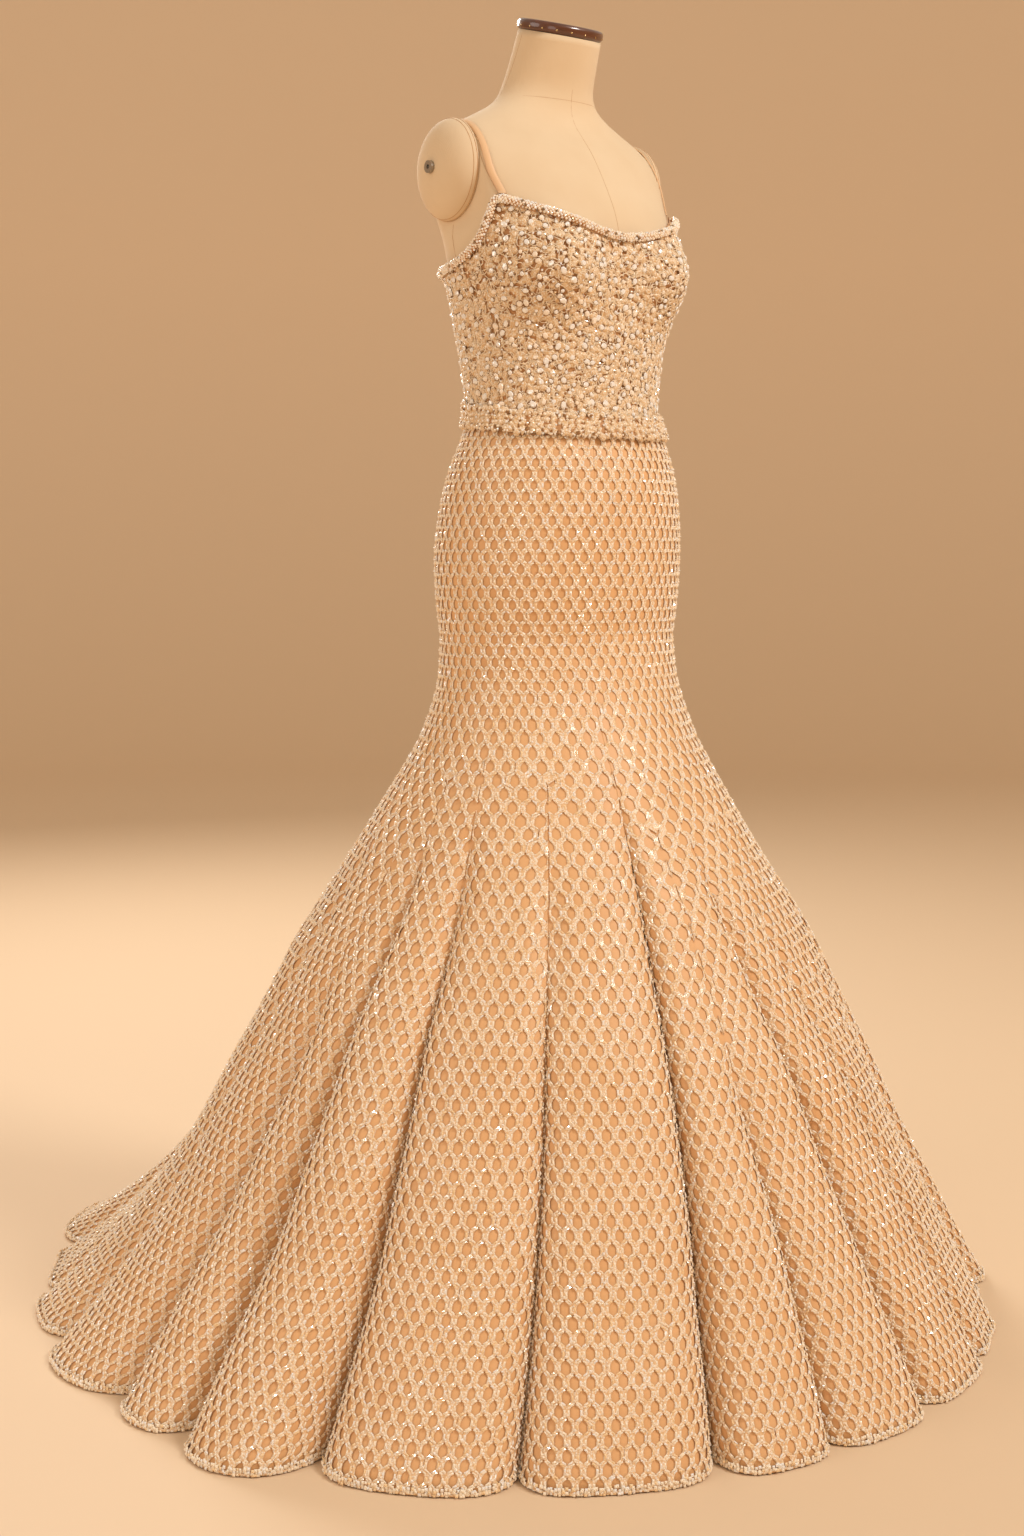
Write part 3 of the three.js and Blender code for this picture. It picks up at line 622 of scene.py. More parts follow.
def build_floor():
    quarter = np.linspace(0, math.pi / 2, SWEEP["steps"])
    bend_out = SWEEP["flat"] + SWEEP["bend"] * np.sin(quarter)
    bend_up = SWEEP["bend"] * (1 - np.cos(quarter))
    radius = np.concatenate([FLAT_RINGS, bend_out, [SWEEP["flat"] + SWEEP["bend"]]])
    height = np.concatenate([np.zeros(len(FLAT_RINGS)), bend_up, [SWEEP["wall"]]]) - SWEEP["drop"]
    turn = full_turn(SWEEP["sides"])[None, :]
    radius, height = radius[:, None], height[:, None]
    rings = np.stack(np.broadcast_arrays(radius * np.cos(turn), radius * np.sin(turn), height), -1)
    faces = grid_faces(rings.shape[0], SWEEP["sides"], closed=True)[:, ::-1]
    return mesh_piece("studio_floor", rings.reshape(-1, 3), faces, [floor_finish.material])


floor = build_floor()
print("floor", round(floor.dimensions.x, 1), "m wide")

# %% [markdown]
# The dress form is a padded body under linen. It is built as rings of the form's surface. The
# stitched seams are thin cords that lie in the linen: centre front and back, the princess seams and
# the same behind, the side seams, and those of the neck.

# %% Body of the form
TORSO_ROWS = 90
TORSO_SIDES = 96


def build_torso():
    heights = np.linspace(FORM_FOOT, FORM_TOP, TORSO_ROWS)[:, None]
    angles = np.linspace(-math.pi, math.pi, TORSO_SIDES, endpoint=False)[None, :]
    return lidded_piece("form_linen_body", form_point(angles, heights), LINEN)


SEAMS = {
    "centre front": ((0, 1180), (0, 1520)),
    "centre back": ((180, 1180), (180, 1520)),
    "princess right": ((-40, 1180), (-62, 1463)),
    "princess left": ((40, 1180), (62, 1463)),
    "back right": ((-142, 1180), (-118, 1463)),
    "back left": ((142, 1180), (118, 1463)),
    "side right": ((-93, 1180), (-97, 1352)),
    "side left": ((93, 1180), (97, 1352)),
    "neck right": ((-95, 1500), (-95, 1580)),
    "neck left": ((95, 1500), (95, 1580)),
}
NECK_SEAM = {"z": 1512 * MM, "drop": 6 * MM}
SEAM_STEPS = 60
SEAM_RADIUS = 0.22 * MM


def seam_line(low, high):
    """A seam from one angle and height to another, each given in degrees and millimetres."""
    share = np.linspace(0, 1, SEAM_STEPS)
    angle = np.radians(mix(low[0], high[0], share))
    z = mix(low[1], high[1], share) * MM
    return form_point(angle, z), form_normal(angle, z)


def neck_ring():
    angle = np.linspace(-math.pi, math.pi, 2 * SEAM_STEPS, endpoint=False)
    z = NECK_SEAM["z"] - NECK_SEAM["drop"] * np.cos(angle)
    return form_point(angle, z), form_normal(angle, z)


torso = settle(build_torso(), "linen", "form_torso")
seam_lines = [seam_line(*ends) for ends in SEAMS.values()]
settle(tube_piece("form_seams", seam_lines, SEAM_RADIUS, SEAM_LINE), "linen")
settle(tube_piece("form_neck_seam", [neck_ring()], SEAM_RADIUS, SEAM_LINE, closed=True), "linen")
print("form body with", len(torso.data.polygons), "faces and", len(SEAMS) + 1, "seams")

# %% [markdown]
# Each arm plate is a shallow dome of linen on the flat side of the shoulder, with a stitched edge
# and a steel socket near its middle. A quarter turn of an ellipse gives the dome.

# %% Arm plates
PLATE_SIDES = 64
PLATE_STEPS = 14
PLATE_SEAMS = {"rises": (0.05, 0.16), "radius": 0.4 * MM}
FLAT_TOP = 9 * MM
METAL_NODES = {
    "form_arm_fitting_left": STEEL,
    "form_arm_fitting_right": STEEL,
    "form_pole": STEEL,
    "form_base": IRON,
}


def plate_point(side, turn, rise):
    """A point of the dome: turn goes round it, rise goes from its rim at 0 to its flat top at 1."""
    flat = math.acos(FLAT_TOP / ARM_PLATE["half_height"])
    reach = np.cos(rise * flat)
    out = ARM_PLATE["dome"] * np.sin(rise * flat) / math.sin(flat)
    x = side * (ARM_PLATE["x"] + SEAM_GAP + out)
    y = ARM_PLATE["y"] + ARM_PLATE["half_depth"] * reach * np.cos(turn)
    z = ARM_PLATE["z"] + ARM_PLATE["half_height"] * reach * np.sin(turn)
    return np.stack(np.broadcast_arrays(x, y, z), -1)


def build_plate(label, side):
    turn = full_turn(PLATE_SIDES)
    rings = plate_point(side, turn[None, :], np.linspace(0, 1, PLATE_STEPS)[:, None])
    plate = lidded_piece(f"arm_plate_{label}", rings, LINEN, flip=side < 0)
    settle(plate, "linen", f"form_arm_plate_{label}")
    middle = np.array([side * ARM_PLATE["x"], ARM_PLATE["y"], ARM_PLATE["z"]])
    lines = [plate_point(side, turn, rise) for rise in PLATE_SEAMS["rises"]]
    edges = [(line, unit(line - middle)) for line in lines]
    seam = tube_piece(f"arm_plate_seam_{label}", edges, PLATE_SEAMS["radius"], SEAM_LINE, closed=True)
    settle(seam, "linen")


build_plate("left", 1)
build_plate("right", -1)
for node, metal in METAL_NODES.items():
    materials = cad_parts[node].data.materials
    materials.clear()
    materials.append(metal)
print("two arm plates, each", 2 * ARM_PLATE["half_height"], "m high")

# %% [markdown]
# The cap on the neck is a slice of dark wood with a rounded rim, varnished, with a row of brass
# nails in its edge. It leans with the neck. A turned profile, squeezed a little from front to back,
# is all that it needs.

# %% Neck cap
CAP = {"width": 55 * MM, "depth": 49 * MM, "thickness": 13 * MM, "round": 5 * MM, "steps": 7, "sides": 72}
NAILS = {"count": 18, "radius": 1.1 * MM, "sides": 8, "rise": 0.9, "dome": 0.7}


def cap_frame(points):
    """Leans points of the flat cap with the neck and sets them on top of it."""
    tilt = math.atan(NECK_TILT)
    sine, cosine = math.sin(tilt), math.cos(tilt)
    x, y, z = np.moveaxis(points, -1, 0)
    leaned = np.stack([x, y * cosine - z * sine, y * sine + z * cosine], -1)
    seat = np.array([0, -sine, cosine]) * SEAM_GAP
    return leaned + seat + np.array([0, float(FORM["centre"](FORM_TOP)), FORM_TOP])


def build_cap():
    """The profile has a reach of 0 in the middle or 1, a step back from the rim, and a height."""
    quarter = np.linspace(0, math.pi / 2, CAP["steps"])
    inset = CAP["round"] * (1 - np.cos(quarter))
    lift = CAP["round"] * (1 - np.sin(quarter))
    low = [(1, back, up) for back, up in zip(inset[::-1], lift[::-1])]
    high = [(1, back, CAP["thickness"] - up) for back, up in zip(inset, lift)]
    profile = [(0, 0, 0), *low, *high, (0, 0, CAP["thickness"])]
    turn = full_turn(CAP["sides"])
    rings = []
    for reach, back, height in profile:
        across = reach * (CAP["width"] - back) * np.sin(turn)
        deep = -reach * (CAP["depth"] - back) * np.cos(turn)
        rings.append(np.stack([across, deep, np.full(CAP["sides"], height)], -1))
    rings = cap_frame(np.stack(rings))
    faces = grid_faces(len(profile), CAP["sides"], closed=True)
    return mesh_piece("neck_cap_wood", rings.reshape(-1, 3), faces, [WOOD])


def build_nails():
    sides = NAILS["sides"]
    turn = full_turn(sides)[:, None]
    heads = []
    for angle in full_turn(NAILS["count"]):
        out = np.array([math.sin(angle), -math.cos(angle), 0])
        side = np.array([math.cos(angle), math.sin(angle), 0])
        seat = np.array([CAP["width"] * out[0], CAP["depth"] * out[1], CAP["round"] * NAILS["rise"]])
        ring = seat + NAILS["radius"] * (np.cos(turn) * side + np.sin(turn) * UP)
        heads.append(np.concatenate([ring, [seat + out * NAILS["radius"] * NAILS["dome"]]]))
    head_faces = lid_faces(np.arange(sides), sides)
    faces = np.concatenate([head_faces + (sides + 1) * index for index in range(len(heads))])
    return mesh_piece("cap_nails", cap_frame(np.concatenate(heads)), faces, [BRASS])


settle(build_cap(), "dark_wood", "form_neck_cap")
settle(build_nails(), "dark_wood")
print("neck cap with", NAILS["count"], "nails")

# %% [markdown]
# The skirt. Each row of the fold table is one valley: where it starts round the hips, where it
# meets the floor, how high it begins, how deep it gets, and how far the fold after it stands
# proud. A place on the skirt is a station, the fold's number plus the share of the way across it,
# and a height.

# %% Tables of the skirt
SKIRT_SECTIONS = table("z width front back", [
    (860, 159.5, 117.5, 117.5), (800, 162, 130, 132), (740, 179, 156, 162), (700, 197, 181, 190),
    (640, 228, 218, 236), (580, 262, 256, 278), (520, 297, 292, 317), (460, 331, 326, 364),
    (400, 364, 358, 400), (340, 394, 388, 433), (280, 424, 415, 460), (220, 455, 441, 482),
    (150, 494, 472, 512), (80, 538, 505, 550), (0, 588, 540, 596),
])
SKIRT = {
    column: curve(SKIRT_SECTIONS["z"] * MM, SKIRT_SECTIONS[column] * MM)
    for column in ("width", "front", "back")
}
FOLDS = table("top hem start depth proud", [
    (-180, -180, 560, 70, 0), (-160, -162, 520, 60, 14), (-140, -146, 560, 72, -14), (-125, -131, 540, 66, 4),
    (-108, -116, 600, 74, 26), (-91, -97, 460, 62, 26), (-81, -84, 620, 80, 40), (-66, -66, 660, 76, 8),
    (-42, -42, 620, 58, 2), (-18, -19, 680, 76, 6), (-9, -5, 420, 50, 4), (2, 11, 600, 72, -2),
    (15, 28, 560, 62, -12), (28, 42, 500, 54, -26), (42, 55, 560, 64, 6), (58, 68, 520, 56, 12),
    (75, 82, 620, 70, 6), (91, 97, 480, 54, 10), (107, 112, 580, 68, 16), (124, 128, 540, 66, 4),
    (141, 144, 560, 70, 6), (160, 162, 520, 60, 10), (180, 180, 560, 70, 0),
])
FOLD_COUNT = len(FOLDS["top"]) - 1
GORES = [
    {"name": "skirt_back_right", "first": 0, "last": 3},
    {"name": "skirt_side_back_right", "first": 3, "last": 6},
    {"name": "skirt_side_front_right", "first": 6, "last": 9},
    {"name": "skirt_front", "first": 9, "last": 12},
    {"name": "skirt_side_front_left", "first": 12, "last": 16},
    {"name": "skirt_side_back_left", "first": 16, "last": 19},
    {"name": "skirt_back_left", "first": 19, "last": 22},
]
FORM_FIT_Z = 860 * MM
FOLD_DRIFT_FROM = 760 * MM
TRAIN = {"from": 90, "reach": 250 * MM, "height": 450 * MM, "spread": 1.3, "sweep": 2.9, "fold_gain": 1.1}
FOLD_SHARPNESS = 5
SLIT_SHARES = (0.08, 0.45)
FOLD_GROWTH = 0.85
HANG = {"from": 0.82, "full": 0.55}
DRAG = {"height": 2.2 * MM, "turns": (5, 3), "rise": (26, -11), "start": 1.3}
RIPPLE = {"height": 1.4 * MM, "rise": 17, "sway": 2.2, "turns": 4}
CALM = {"below": 0.2, "share": 0.5}
print(FOLD_COUNT, "folds in", len(GORES), "gores")

# %% [markdown]
# The surface itself. Above the hips it is the form, moved out. Below, it is an ellipse that grows
# towards the floor, with the valleys pushed in and the train swept out behind. Soft drag lines and
# dents keep the cloth from looking turned on a lathe.

# %% The surface of the skirt
def fold_share(fold, z):
    start = FOLDS["start"][fold] * MM
    return np.clip((start - z) / start, 0, 1) ** FOLD_GROWTH


def train_share(angle, z):
    round_back = np.abs(np.arctan2(np.sin(angle), np.cos(angle)))
    start = math.radians(TRAIN["from"])
    behind = np.maximum((round_back - start) / (math.pi - start), 0)
    low = np.clip((TRAIN["height"] - z) / TRAIN["height"], 0, 1)
    return behind ** TRAIN["spread"] * low ** TRAIN["sweep"]


def station_parts(station):
    index = np.clip(np.floor(station).astype(int), 0, FOLD_COUNT - 1)
    return index, station - index


def station_angle(station, z):
    index, across = station_parts(station)
    top = mix(FOLDS["top"][index], FOLDS["top"][index + 1], across)
    hem = mix(FOLDS["hem"][index], FOLDS["hem"][index + 1], across)
    return np.radians(mix(top, hem, smooth_share(-z, -FOLD_DRIFT_FROM, 0)))


def crease(angle, z):
    """Slow dents and slanting drag lines. They start below the hips and fade towards the floor."""
    hang = smooth_share(-z, -HANG["from"], -HANG["full"])
    first = np.sin(DRAG["turns"][0] * angle + DRAG["rise"][0] * z)
    second = np.sin(DRAG["turns"][1] * angle + DRAG["rise"][1] * z + DRAG["start"])
    slant = first * second
    ripple = np.sin(RIPPLE["rise"] * z + RIPPLE["sway"] * np.sin(RIPPLE["turns"] * angle))
    calm = 1 - CALM["share"] * smooth_share(-z, -CALM["below"], 0)
    return hang * (DRAG["height"] * slant + RIPPLE["height"] * ripple) * calm


def skirt_point(station, z):
    station, z = np.broadcast_arrays(np.asarray(station, float), np.asarray(z, float))
    index, across = station_parts(station)
    angle = station_angle(station, z)
    valley = np.where(across < 0.5, index, index + 1)
    edge = np.abs(2 * across - 1)
    trough = smooth_share(edge, 0.5, 1)
    slit = 1 - np.sqrt(np.maximum(1 - edge**FOLD_SHARPNESS, 0))
    dip = mix(trough, slit, smooth_share(fold_share(valley, z), SLIT_SHARES[0], SLIT_SHARES[1]))
    train = train_share(angle, z)
    crown = FOLDS["proud"][index] * MM * fold_share(index, z) * (1 - edge**2)
    hollow = FOLDS["depth"][valley] * MM * fold_share(valley, z) * dip * (1 + TRAIN["fold_gain"] * train)
    shift = TRAIN["reach"] * train + crown - hollow + crease(angle, z)
    ahead = np.cos(angle)
    depth = np.where(ahead > 0, SKIRT["front"](z), SKIRT["back"](z)) + shift
    fitted = np.clip((z - FOLD_DRIFT_FROM) / (FORM_FIT_Z - FOLD_DRIFT_FROM), 0, 1)
    centre = FORM["centre"](FORM_FIT_Z) * fitted
    hanging = np.stack([(SKIRT["width"](z) + shift) * np.sin(angle), centre - depth * ahead, z], -1)
    fitting = off_form(angle, np.maximum(z, FORM_FIT_Z), FORM_GAP + WALL)
    return np.where((z >= FORM_FIT_Z)[..., None], fitting, hanging)


def grid_normals(points):
    """Outward normals of a grid that runs down in its rows and round the gown in its columns."""
    down = np.gradient(points, axis=0)
    across = np.gradient(points, axis=1)
    return unit(np.cross(down, across) + TINY)


print("end of the train:", skirt_point(0, 0.0).round(3))

# %% [markdown]
# The satin under the net is cut in gores and sewn down the bottoms of the valleys. Each gore is
# thin cloth on the surface of the skirt, with points packed close where the folds turn sharply.

# %% Satin gores
ACROSS_FOLD = np.array([0, 0.02, 0.05, 0.1, 0.17, 0.26, 0.38, 0.5, 0.62, 0.74, 0.83, 0.9, 0.95, 0.98])
GORE_ROWS = 62
SATIN_SINK = 0.9 * MM
SATIN_THICK = 0.9 * MM
HEM_LIFT = 1.5 * MM


def gore_stations(first, last):
    inner = np.concatenate([fold + ACROSS_FOLD for fold in range(first, last)])
    return np.append(inner, last)


def gore_grid(first, last):
    stations = gore_stations(first, last)[None, :]
    share = np.linspace(0, 1, GORE_ROWS)[:, None]
    top = waist_z(station_angle(stations, WAIST_Z)) - SEAM_GAP / 2
    z = mix(top, HEM_LIFT, share)
    points = skirt_point(stations, z)
    return points, grid_normals(points)


def build_gore(name, first, last):
    points, normals = gore_grid(first, last)
    outer = points - normals * SATIN_SINK
    inner = outer - normals * SATIN_THICK
    piece = cloth_piece(f"{name}_satin", outer[::-1], inner[::-1], SATIN)
    return settle(piece, "beaded_net", name)


satin_gores = {row["name"]: build_gore(**row) for row in GORES}
print("gores:", {name: len(piece.data.polygons) for name, piece in satin_gores.items()})

# %% [markdown]
# Beads. One bead is a small cut shape, copied to thousands of places by arrays: each copy gets a
# direction along its strand, a lift off the cloth, a size, and one of the finishes at random, from
# a fixed seed. A strand's bead is a four-sided peak with only four faces, sewn flat on the cloth, so
# that a whole net stays light and its facets still catch the light one by one.

# %% Beads from arrays
PETAL_WIDTH = 1.3


def circle(sides):
    turn = full_turn(sides) + math.pi / sides
    return np.stack([np.cos(turn), np.sin(turn)], -1)


def petal(sides):
    """The outline of a petal, pointed at one end and round at the other."""
    turn = full_turn(sides)
    return np.stack([np.cos(turn), PETAL_WIDTH * np.sin(turn) * np.sin(turn / 2)], -1)


def small_shape(outline, levels, tip=None, foot=None):
    """Points and triangles of a small shape. Each level is a share of the outline and a height."""
    sides = len(outline)
    points = [np.column_stack([outline * reach, np.full(sides, height)]) for reach, height in levels]
    faces = []
    for level in range(len(levels) - 1):
        faces += split_quads(grid_faces(2, sides, level * sides, closed=True))
    count = sides * len(levels)
    ring = np.arange(sides)
    if tip is not None:
        points.append([[0, 0, tip]])
        faces.append(lid_faces(ring + count - sides, count))
        count += 1
    if foot is not None:
        points.append([[0, 0, foot]])
        faces.append(lid_faces(ring, count, below=True))
    return np.concatenate(points), np.concatenate(faces)


SHAPES = {
    "bugle": small_shape(circle(3), [(1, 0)], tip=1, foot=-1),
    "peak": small_shape(circle(4), [(math.sqrt(2), 0)], tip=1),
    "pearl": small_shape(circle(5), [(1, -0.1), (0.72, 0.62)], tip=0.95),
    "stone": small_shape(circle(7), [(1, 0), (0.66, 0.7)], tip=0.76),
    "setting": small_shape(circle(7), [(1, 0)], tip=1),
    "pad": small_shape(petal(8), [(1, -0.2), (0.86, 0.65)], tip=1),
}
SEED = 7
random = np.random.default_rng(SEED)


def spins(count):
    """A turn at random for each copy."""
    return random.uniform(0, 2 * math.pi, count)


def even_sizes(radius):
    """The same size in all three directions."""
    return np.stack([radius] * 3, -1)


def copies(name, shape, places, axes, sizes, materials, shares, smooth=False):
    """One joined piece with a copy of a shape at every place.

    axes is three arrays of directions for the shape's own x, y and z, and sizes is (count, 3)."""
    points, faces = SHAPES[shape]
    count = len(places)
    scaled = [directions * sizes[:, axis, None] for axis, directions in enumerate(axes)]
    grid = sum(points[None, :, axis, None] * scaled[axis][:, None] for axis in range(3)) + places[:, None]
    numbers = faces[None] + (np.arange(count) * len(points))[:, None, None]
    kind = np.repeat(random.choice(len(materials), count, p=shares), len(faces))
    return mesh_piece(name, grid.reshape(-1, 3), numbers.reshape(-1, 3), materials, kind, smooth)


def join(name, pieces):
    """Joins pieces of the same row into one, and names it."""
    with bpy.context.temp_override(active_object=pieces[0], selected_editable_objects=pieces):
        bpy.ops.object.join()
    pieces[0].name = name
    pieces[0].data.name = name
    return pieces[0]


print("faces on each shape:", {name: len(shape[1]) for name, shape in SHAPES.items()})

# %% [markdown]
# The net is knotted from beaded thread, with openings like almonds, more pointed above than below,
# each row set half a step from the last. On the hips it is one cloth. Lower down every fold grows
# wider, so more columns come out of the valleys. The net is laid out fold by fold on flat cloth:
# columns are counted along the level from the middle of the fold, and rows along its slope.

# %% Layout of the net
NET_COLUMNS = 56
NET_SPLIT_Z = 720 * MM
HEM_PITCH = 16.8 * MM
ROW_TO_COLUMN = 1.72
PITCH_GROWTH = 0.8
LAYOUT_ROWS = 220
LAYOUT_STEPS = 60
LAYOUT_FOOT = 4 * MM
RING_STEPS = 20
PARTING = {"least": 0.56, "above": 0.08, "soft": 0.14}


class FoldLayout:
    """The flat layout of one fold: column and row numbers to places on the skirt."""

    def __init__(self, fold, heights, counted, split_row, pitch):
        self.fold = fold
        self.heights = heights
        stations = np.linspace(fold, fold + 1, LAYOUT_STEPS + 1)
        self.points = skirt_point(stations[None, :], heights[:, None])
        self.normals = grid_normals(self.points)
        steps = np.linalg.norm(np.diff(self.points, axis=1), axis=-1)
        self.arc = np.concatenate([np.zeros((len(heights), 1)), np.cumsum(steps, 1)], 1)
        half = LAYOUT_STEPS // 2
        self.length = np.stack([self.arc[:, half], self.arc[:, -1] - self.arc[:, half]], -1)
        self.middle = counted[fold + 0.5]
        top_columns = np.stack([self.middle - counted[fold], counted[fold + 1] - self.middle])
        spread = self.length / pitch[:, None]
        starts = np.maximum(FOLDS["start"][[fold, fold + 1]] * MM, PARTING["least"]) + PARTING["above"]
        freed = smooth_share(starts[None, :] - heights[:, None], 0, PARTING["soft"])
        freed[: split_row + 1] = 0
        self.freed = freed
        self.columns = mix(top_columns[None, :], np.maximum(spread, top_columns[None, :]), freed)
        drop = np.linalg.norm(np.diff(self.points[:, half], axis=0), axis=-1)
        drop[:split_row] = np.abs(np.diff(heights))[:split_row]
        self.row = np.concatenate([[0], np.cumsum(drop / (ROW_TO_COLUMN * pitch[1:]))])

    def on_side(self, values, away, level):
        """Values of the left or the right half of the fold, read at fractional layout levels."""
        left, right = [np.interp(level, np.arange(len(self.heights)), half) for half in values.T]
        return np.where(away < 0, left, right)

    def share(self, column, level):
        """How far out from the middle of the fold a column lies, from -1 to 1."""
        away = column - self.middle
        return away / self.on_side(self.columns, away, level)

    def parted(self, share, level):
        """Whether the net has parted from the next fold's at these places."""
        return self.on_side(self.freed, share, level) > 0

    def level(self, row):
        return np.interp(row, self.row, np.arange(len(self.heights)))

    def place(self, share, level):
        """Points and normals at shares of the way out and fractional layout levels."""
        low = np.clip(np.floor(level).astype(int), 0, len(self.heights) - 2)
        between = (level - low)[:, None]
        half = LAYOUT_STEPS // 2
        found = []
        for step in (0, 1):
            arc = self.arc[low + step]
            length = self.length[low + step]
            wanted = arc[:, half] + share * np.where(share < 0, length[:, 0], length[:, 1])
            index = np.clip((arc < wanted[:, None]).sum(1) - 1, 0, LAYOUT_STEPS - 1)
            at = np.arange(len(index))
            part = ((wanted - arc[at, index]) / (arc[at, index + 1] - arc[at, index]))[:, None]
            for grid in (self.points, self.normals):
                found.append(mix(grid[low + step, index], grid[low + step, index + 1], part))
        return mix(found[0], found[2], between), unit(mix(found[1], found[3], between))


def lay_out_folds():
    heights = np.linspace(WAIST_Z + WAIST_DROP, LAYOUT_FOOT, LAYOUT_ROWS)
    split_row = int(np.argmin(np.abs(heights - NET_SPLIT_Z)))
    ring_stations = np.linspace(0, FOLD_COUNT, FOLD_COUNT * RING_STEPS + 1)
    ring = skirt_point(ring_stations[None, :], heights[:, None])
    steps = np.linalg.norm(np.diff(ring, axis=1), axis=-1)
    around = np.concatenate([[0], np.cumsum(steps[split_row])])
    counted = {}
    for half_step in range(2 * FOLD_COUNT + 1):
        station = half_step / 2
        counted[station] = np.interp(station, ring_stations, around) / around[-1] * NET_COLUMNS
    girth = steps.sum(1) / NET_COLUMNS
    fall = np.clip((NET_SPLIT_Z - heights) / NET_SPLIT_Z, 0, 1) ** PITCH_GROWTH
    pitch = np.where(heights > NET_SPLIT_Z, girth, mix(girth[split_row], HEM_PITCH, fall))
    return [FoldLayout(fold, heights, counted, split_row, pitch) for fold in range(FOLD_COUNT)]


layouts = lay_out_folds()
print("columns at the hem of each fold:", [round(float(layout.columns[-1].sum()), 1) for layout in layouts])

# %% [markdown]
# Every opening of the net is an almond with six corners. Round it lies its share of the knotted
# band of thread, which meets the shares of its six neighbours, so the band has no gap. A ring of
# beads is sewn round the opening, a small one lies somewhere on its share of the band, and a bright
# one sits on the knot. Where two folds have not parted yet the net runs on over the next one. Deep
# in a valley it stops.

# %% Beaded net
OPENING = table("across down", [(0, -30), (26, -9), (26, 13), (0, 28), (-26, 13), (-26, -9)])
BORDER = table("across down", [(0, -33), (50, -17), (50, 17), (0, 33), (-50, 17), (-50, -17)])
CELL_PARTS = 100
CELL = {"down": 0.39, "corners": 6, "ring_beads": 6, "small_beads": 1, "bead_out": 0.42}
CELL_SCATTER = {"opening": 0.08, "place": 0.012, "small_out": (0.65, 1)}
RIM_LIFT = 0.1 * MM
BAND_LIFT = 0.9 * MM
DOT_LIFT = 0.9
STRAND = {"half_width": 1.05 * MM, "height": 1.5 * MM, "length": 0.8, "longest": 9 * MM}
STRAND_SPREAD = {"wide": (0.85, 1.2), "tall": (0.8, 1.25)}
DOT_SPREAD = {"wide": (0.75, 1.2), "tall": (0.7, 1.1)}
STRAND_SHARES = [0.66, 0.2, 0.14]
SMALL = {
    "half_width": 0.95 * MM, "height": 1.3 * MM,
    "materials": [IVORY_BEAD, PEARL, CUT_BEAD], "shares": [0.5, 0.3, 0.2],
}
KNOT = {
    "half_width": 1.3 * MM, "height": 2.2 * MM,
    "materials": [PEARL, CUT_BEAD], "shares": [0.6, 0.4],
}
VALLEY_EDGE = 0.985
EDGE_CELLS = 0.5
TOP_MARGIN = 6 * MM


def round_cell(column, row, turn, out, jitter=0.0):
    """Column and row numbers round each opening.

    turn counts the corners round it, and out goes from the opening's rim at 0 to the border at 1."""
    flat = []
    for axis in ("across", "down"):
        rims = [np.append(ring[axis], ring[axis][0]) / CELL_PARTS for ring in (OPENING, BORDER)]
        inner, border = [np.interp(turn, np.arange(CELL["corners"] + 1), rim) for rim in rims]
        flat.append(mix(inner * (1 + jitter), border, out))
    return column[:, None] + flat[0], row[:, None] + CELL["down"] + flat[1]


def place_over(layout, column, level):
    """Places on a fold, which run on over the next fold where the two have not parted.

    Elsewhere they stop at the edge. The last array says which places have not been stopped."""
    share = layout.share(column, level)
    parted = layout.parted(share, level)
    edge = np.where(parted, VALLEY_EDGE, 1)
    points, normals = layout.place(np.clip(share, -edge, edge), level)
    for side in (-1, 1):
        beyond = (side * share > 1) & ~parted
        if beyond.any():
            beside = layouts[(layout.fold + side) % FOLD_COUNT]
            wrap = NET_COLUMNS * round((layout.middle - beside.middle) / NET_COLUMNS)
            across = beside.share(column[beyond] - wrap, level[beyond])
            points[beyond], normals[beyond] = beside.place(np.clip(across, -1, 1), level[beyond])
    return points, normals, (np.abs(share) <= edge) | ~parted


def net_cells(layout):
    """Column and row numbers of the knots on a fold."""
    reach = np.ceil(layout.columns.max()) + 1
    columns = np.arange(np.floor(layout.middle - reach), np.ceil(layout.middle + reach) + 1, 0.5)
    rows = np.arange(0, np.floor(layout.row[-1]) + 1, 0.5)
    column, row = [grid.ravel() for grid in np.meshgrid(columns, rows)]
    even = np.isclose((column + row) % 1, 0)
    column, row = column[even], row[even]
    level = layout.level(row + CELL["down"])
    share = layout.share(column, level)
    inside = (share >= -1) & (share < 1)
    edge = 1 + EDGE_CELLS / layout.on_side(layout.columns, share, level)
    inside |= layout.parted(share, level) & (np.abs(share) < edge)
    return column[inside], row[inside]


def on_net(layout, column, row):
    """Points, normals, whether each is on the fold, and whether it is clear of the belt."""
    shape = column.shape
    points, normals, keep = place_over(layout, column.ravel(), layout.level(row.ravel()))
    angle = np.arctan2(points[:, 0], -points[:, 1])
    clear = points[:, 2] < waist_z(angle) - TOP_MARGIN
    return points.reshape(*shape, 3), normals.reshape(*shape, 3), keep.reshape(shape), clear.reshape(shape)


def fold_band(layout, column, row, jitter):
    """Points and four-cornered faces of the knotted band of one fold."""
    corners = CELL["corners"]
    turn = np.tile(np.arange(corners), 2)[None, :]
    out = np.repeat([0.0, 1.0], corners)[None, :]
    at_column, at_row = round_cell(column, row, turn, out, jitter)
    points, normals, keep, clear = on_net(layout, at_column, at_row)
    points = points + normals * mix(RIM_LIFT, BAND_LIFT, out)[..., None]
    ring = grid_faces(2, corners, closed=True)[:, ::-1]
    faces = ring[None] + (np.arange(len(column)) * 2 * corners)[:, None, None]
    whole = clear[:, ring].all(-1) & (at_row[:, ring].min(-1) < layout.row[-1])
    whole &= keep[:, ring].any(-1)
    return points.reshape(-1, 3), faces[whole]


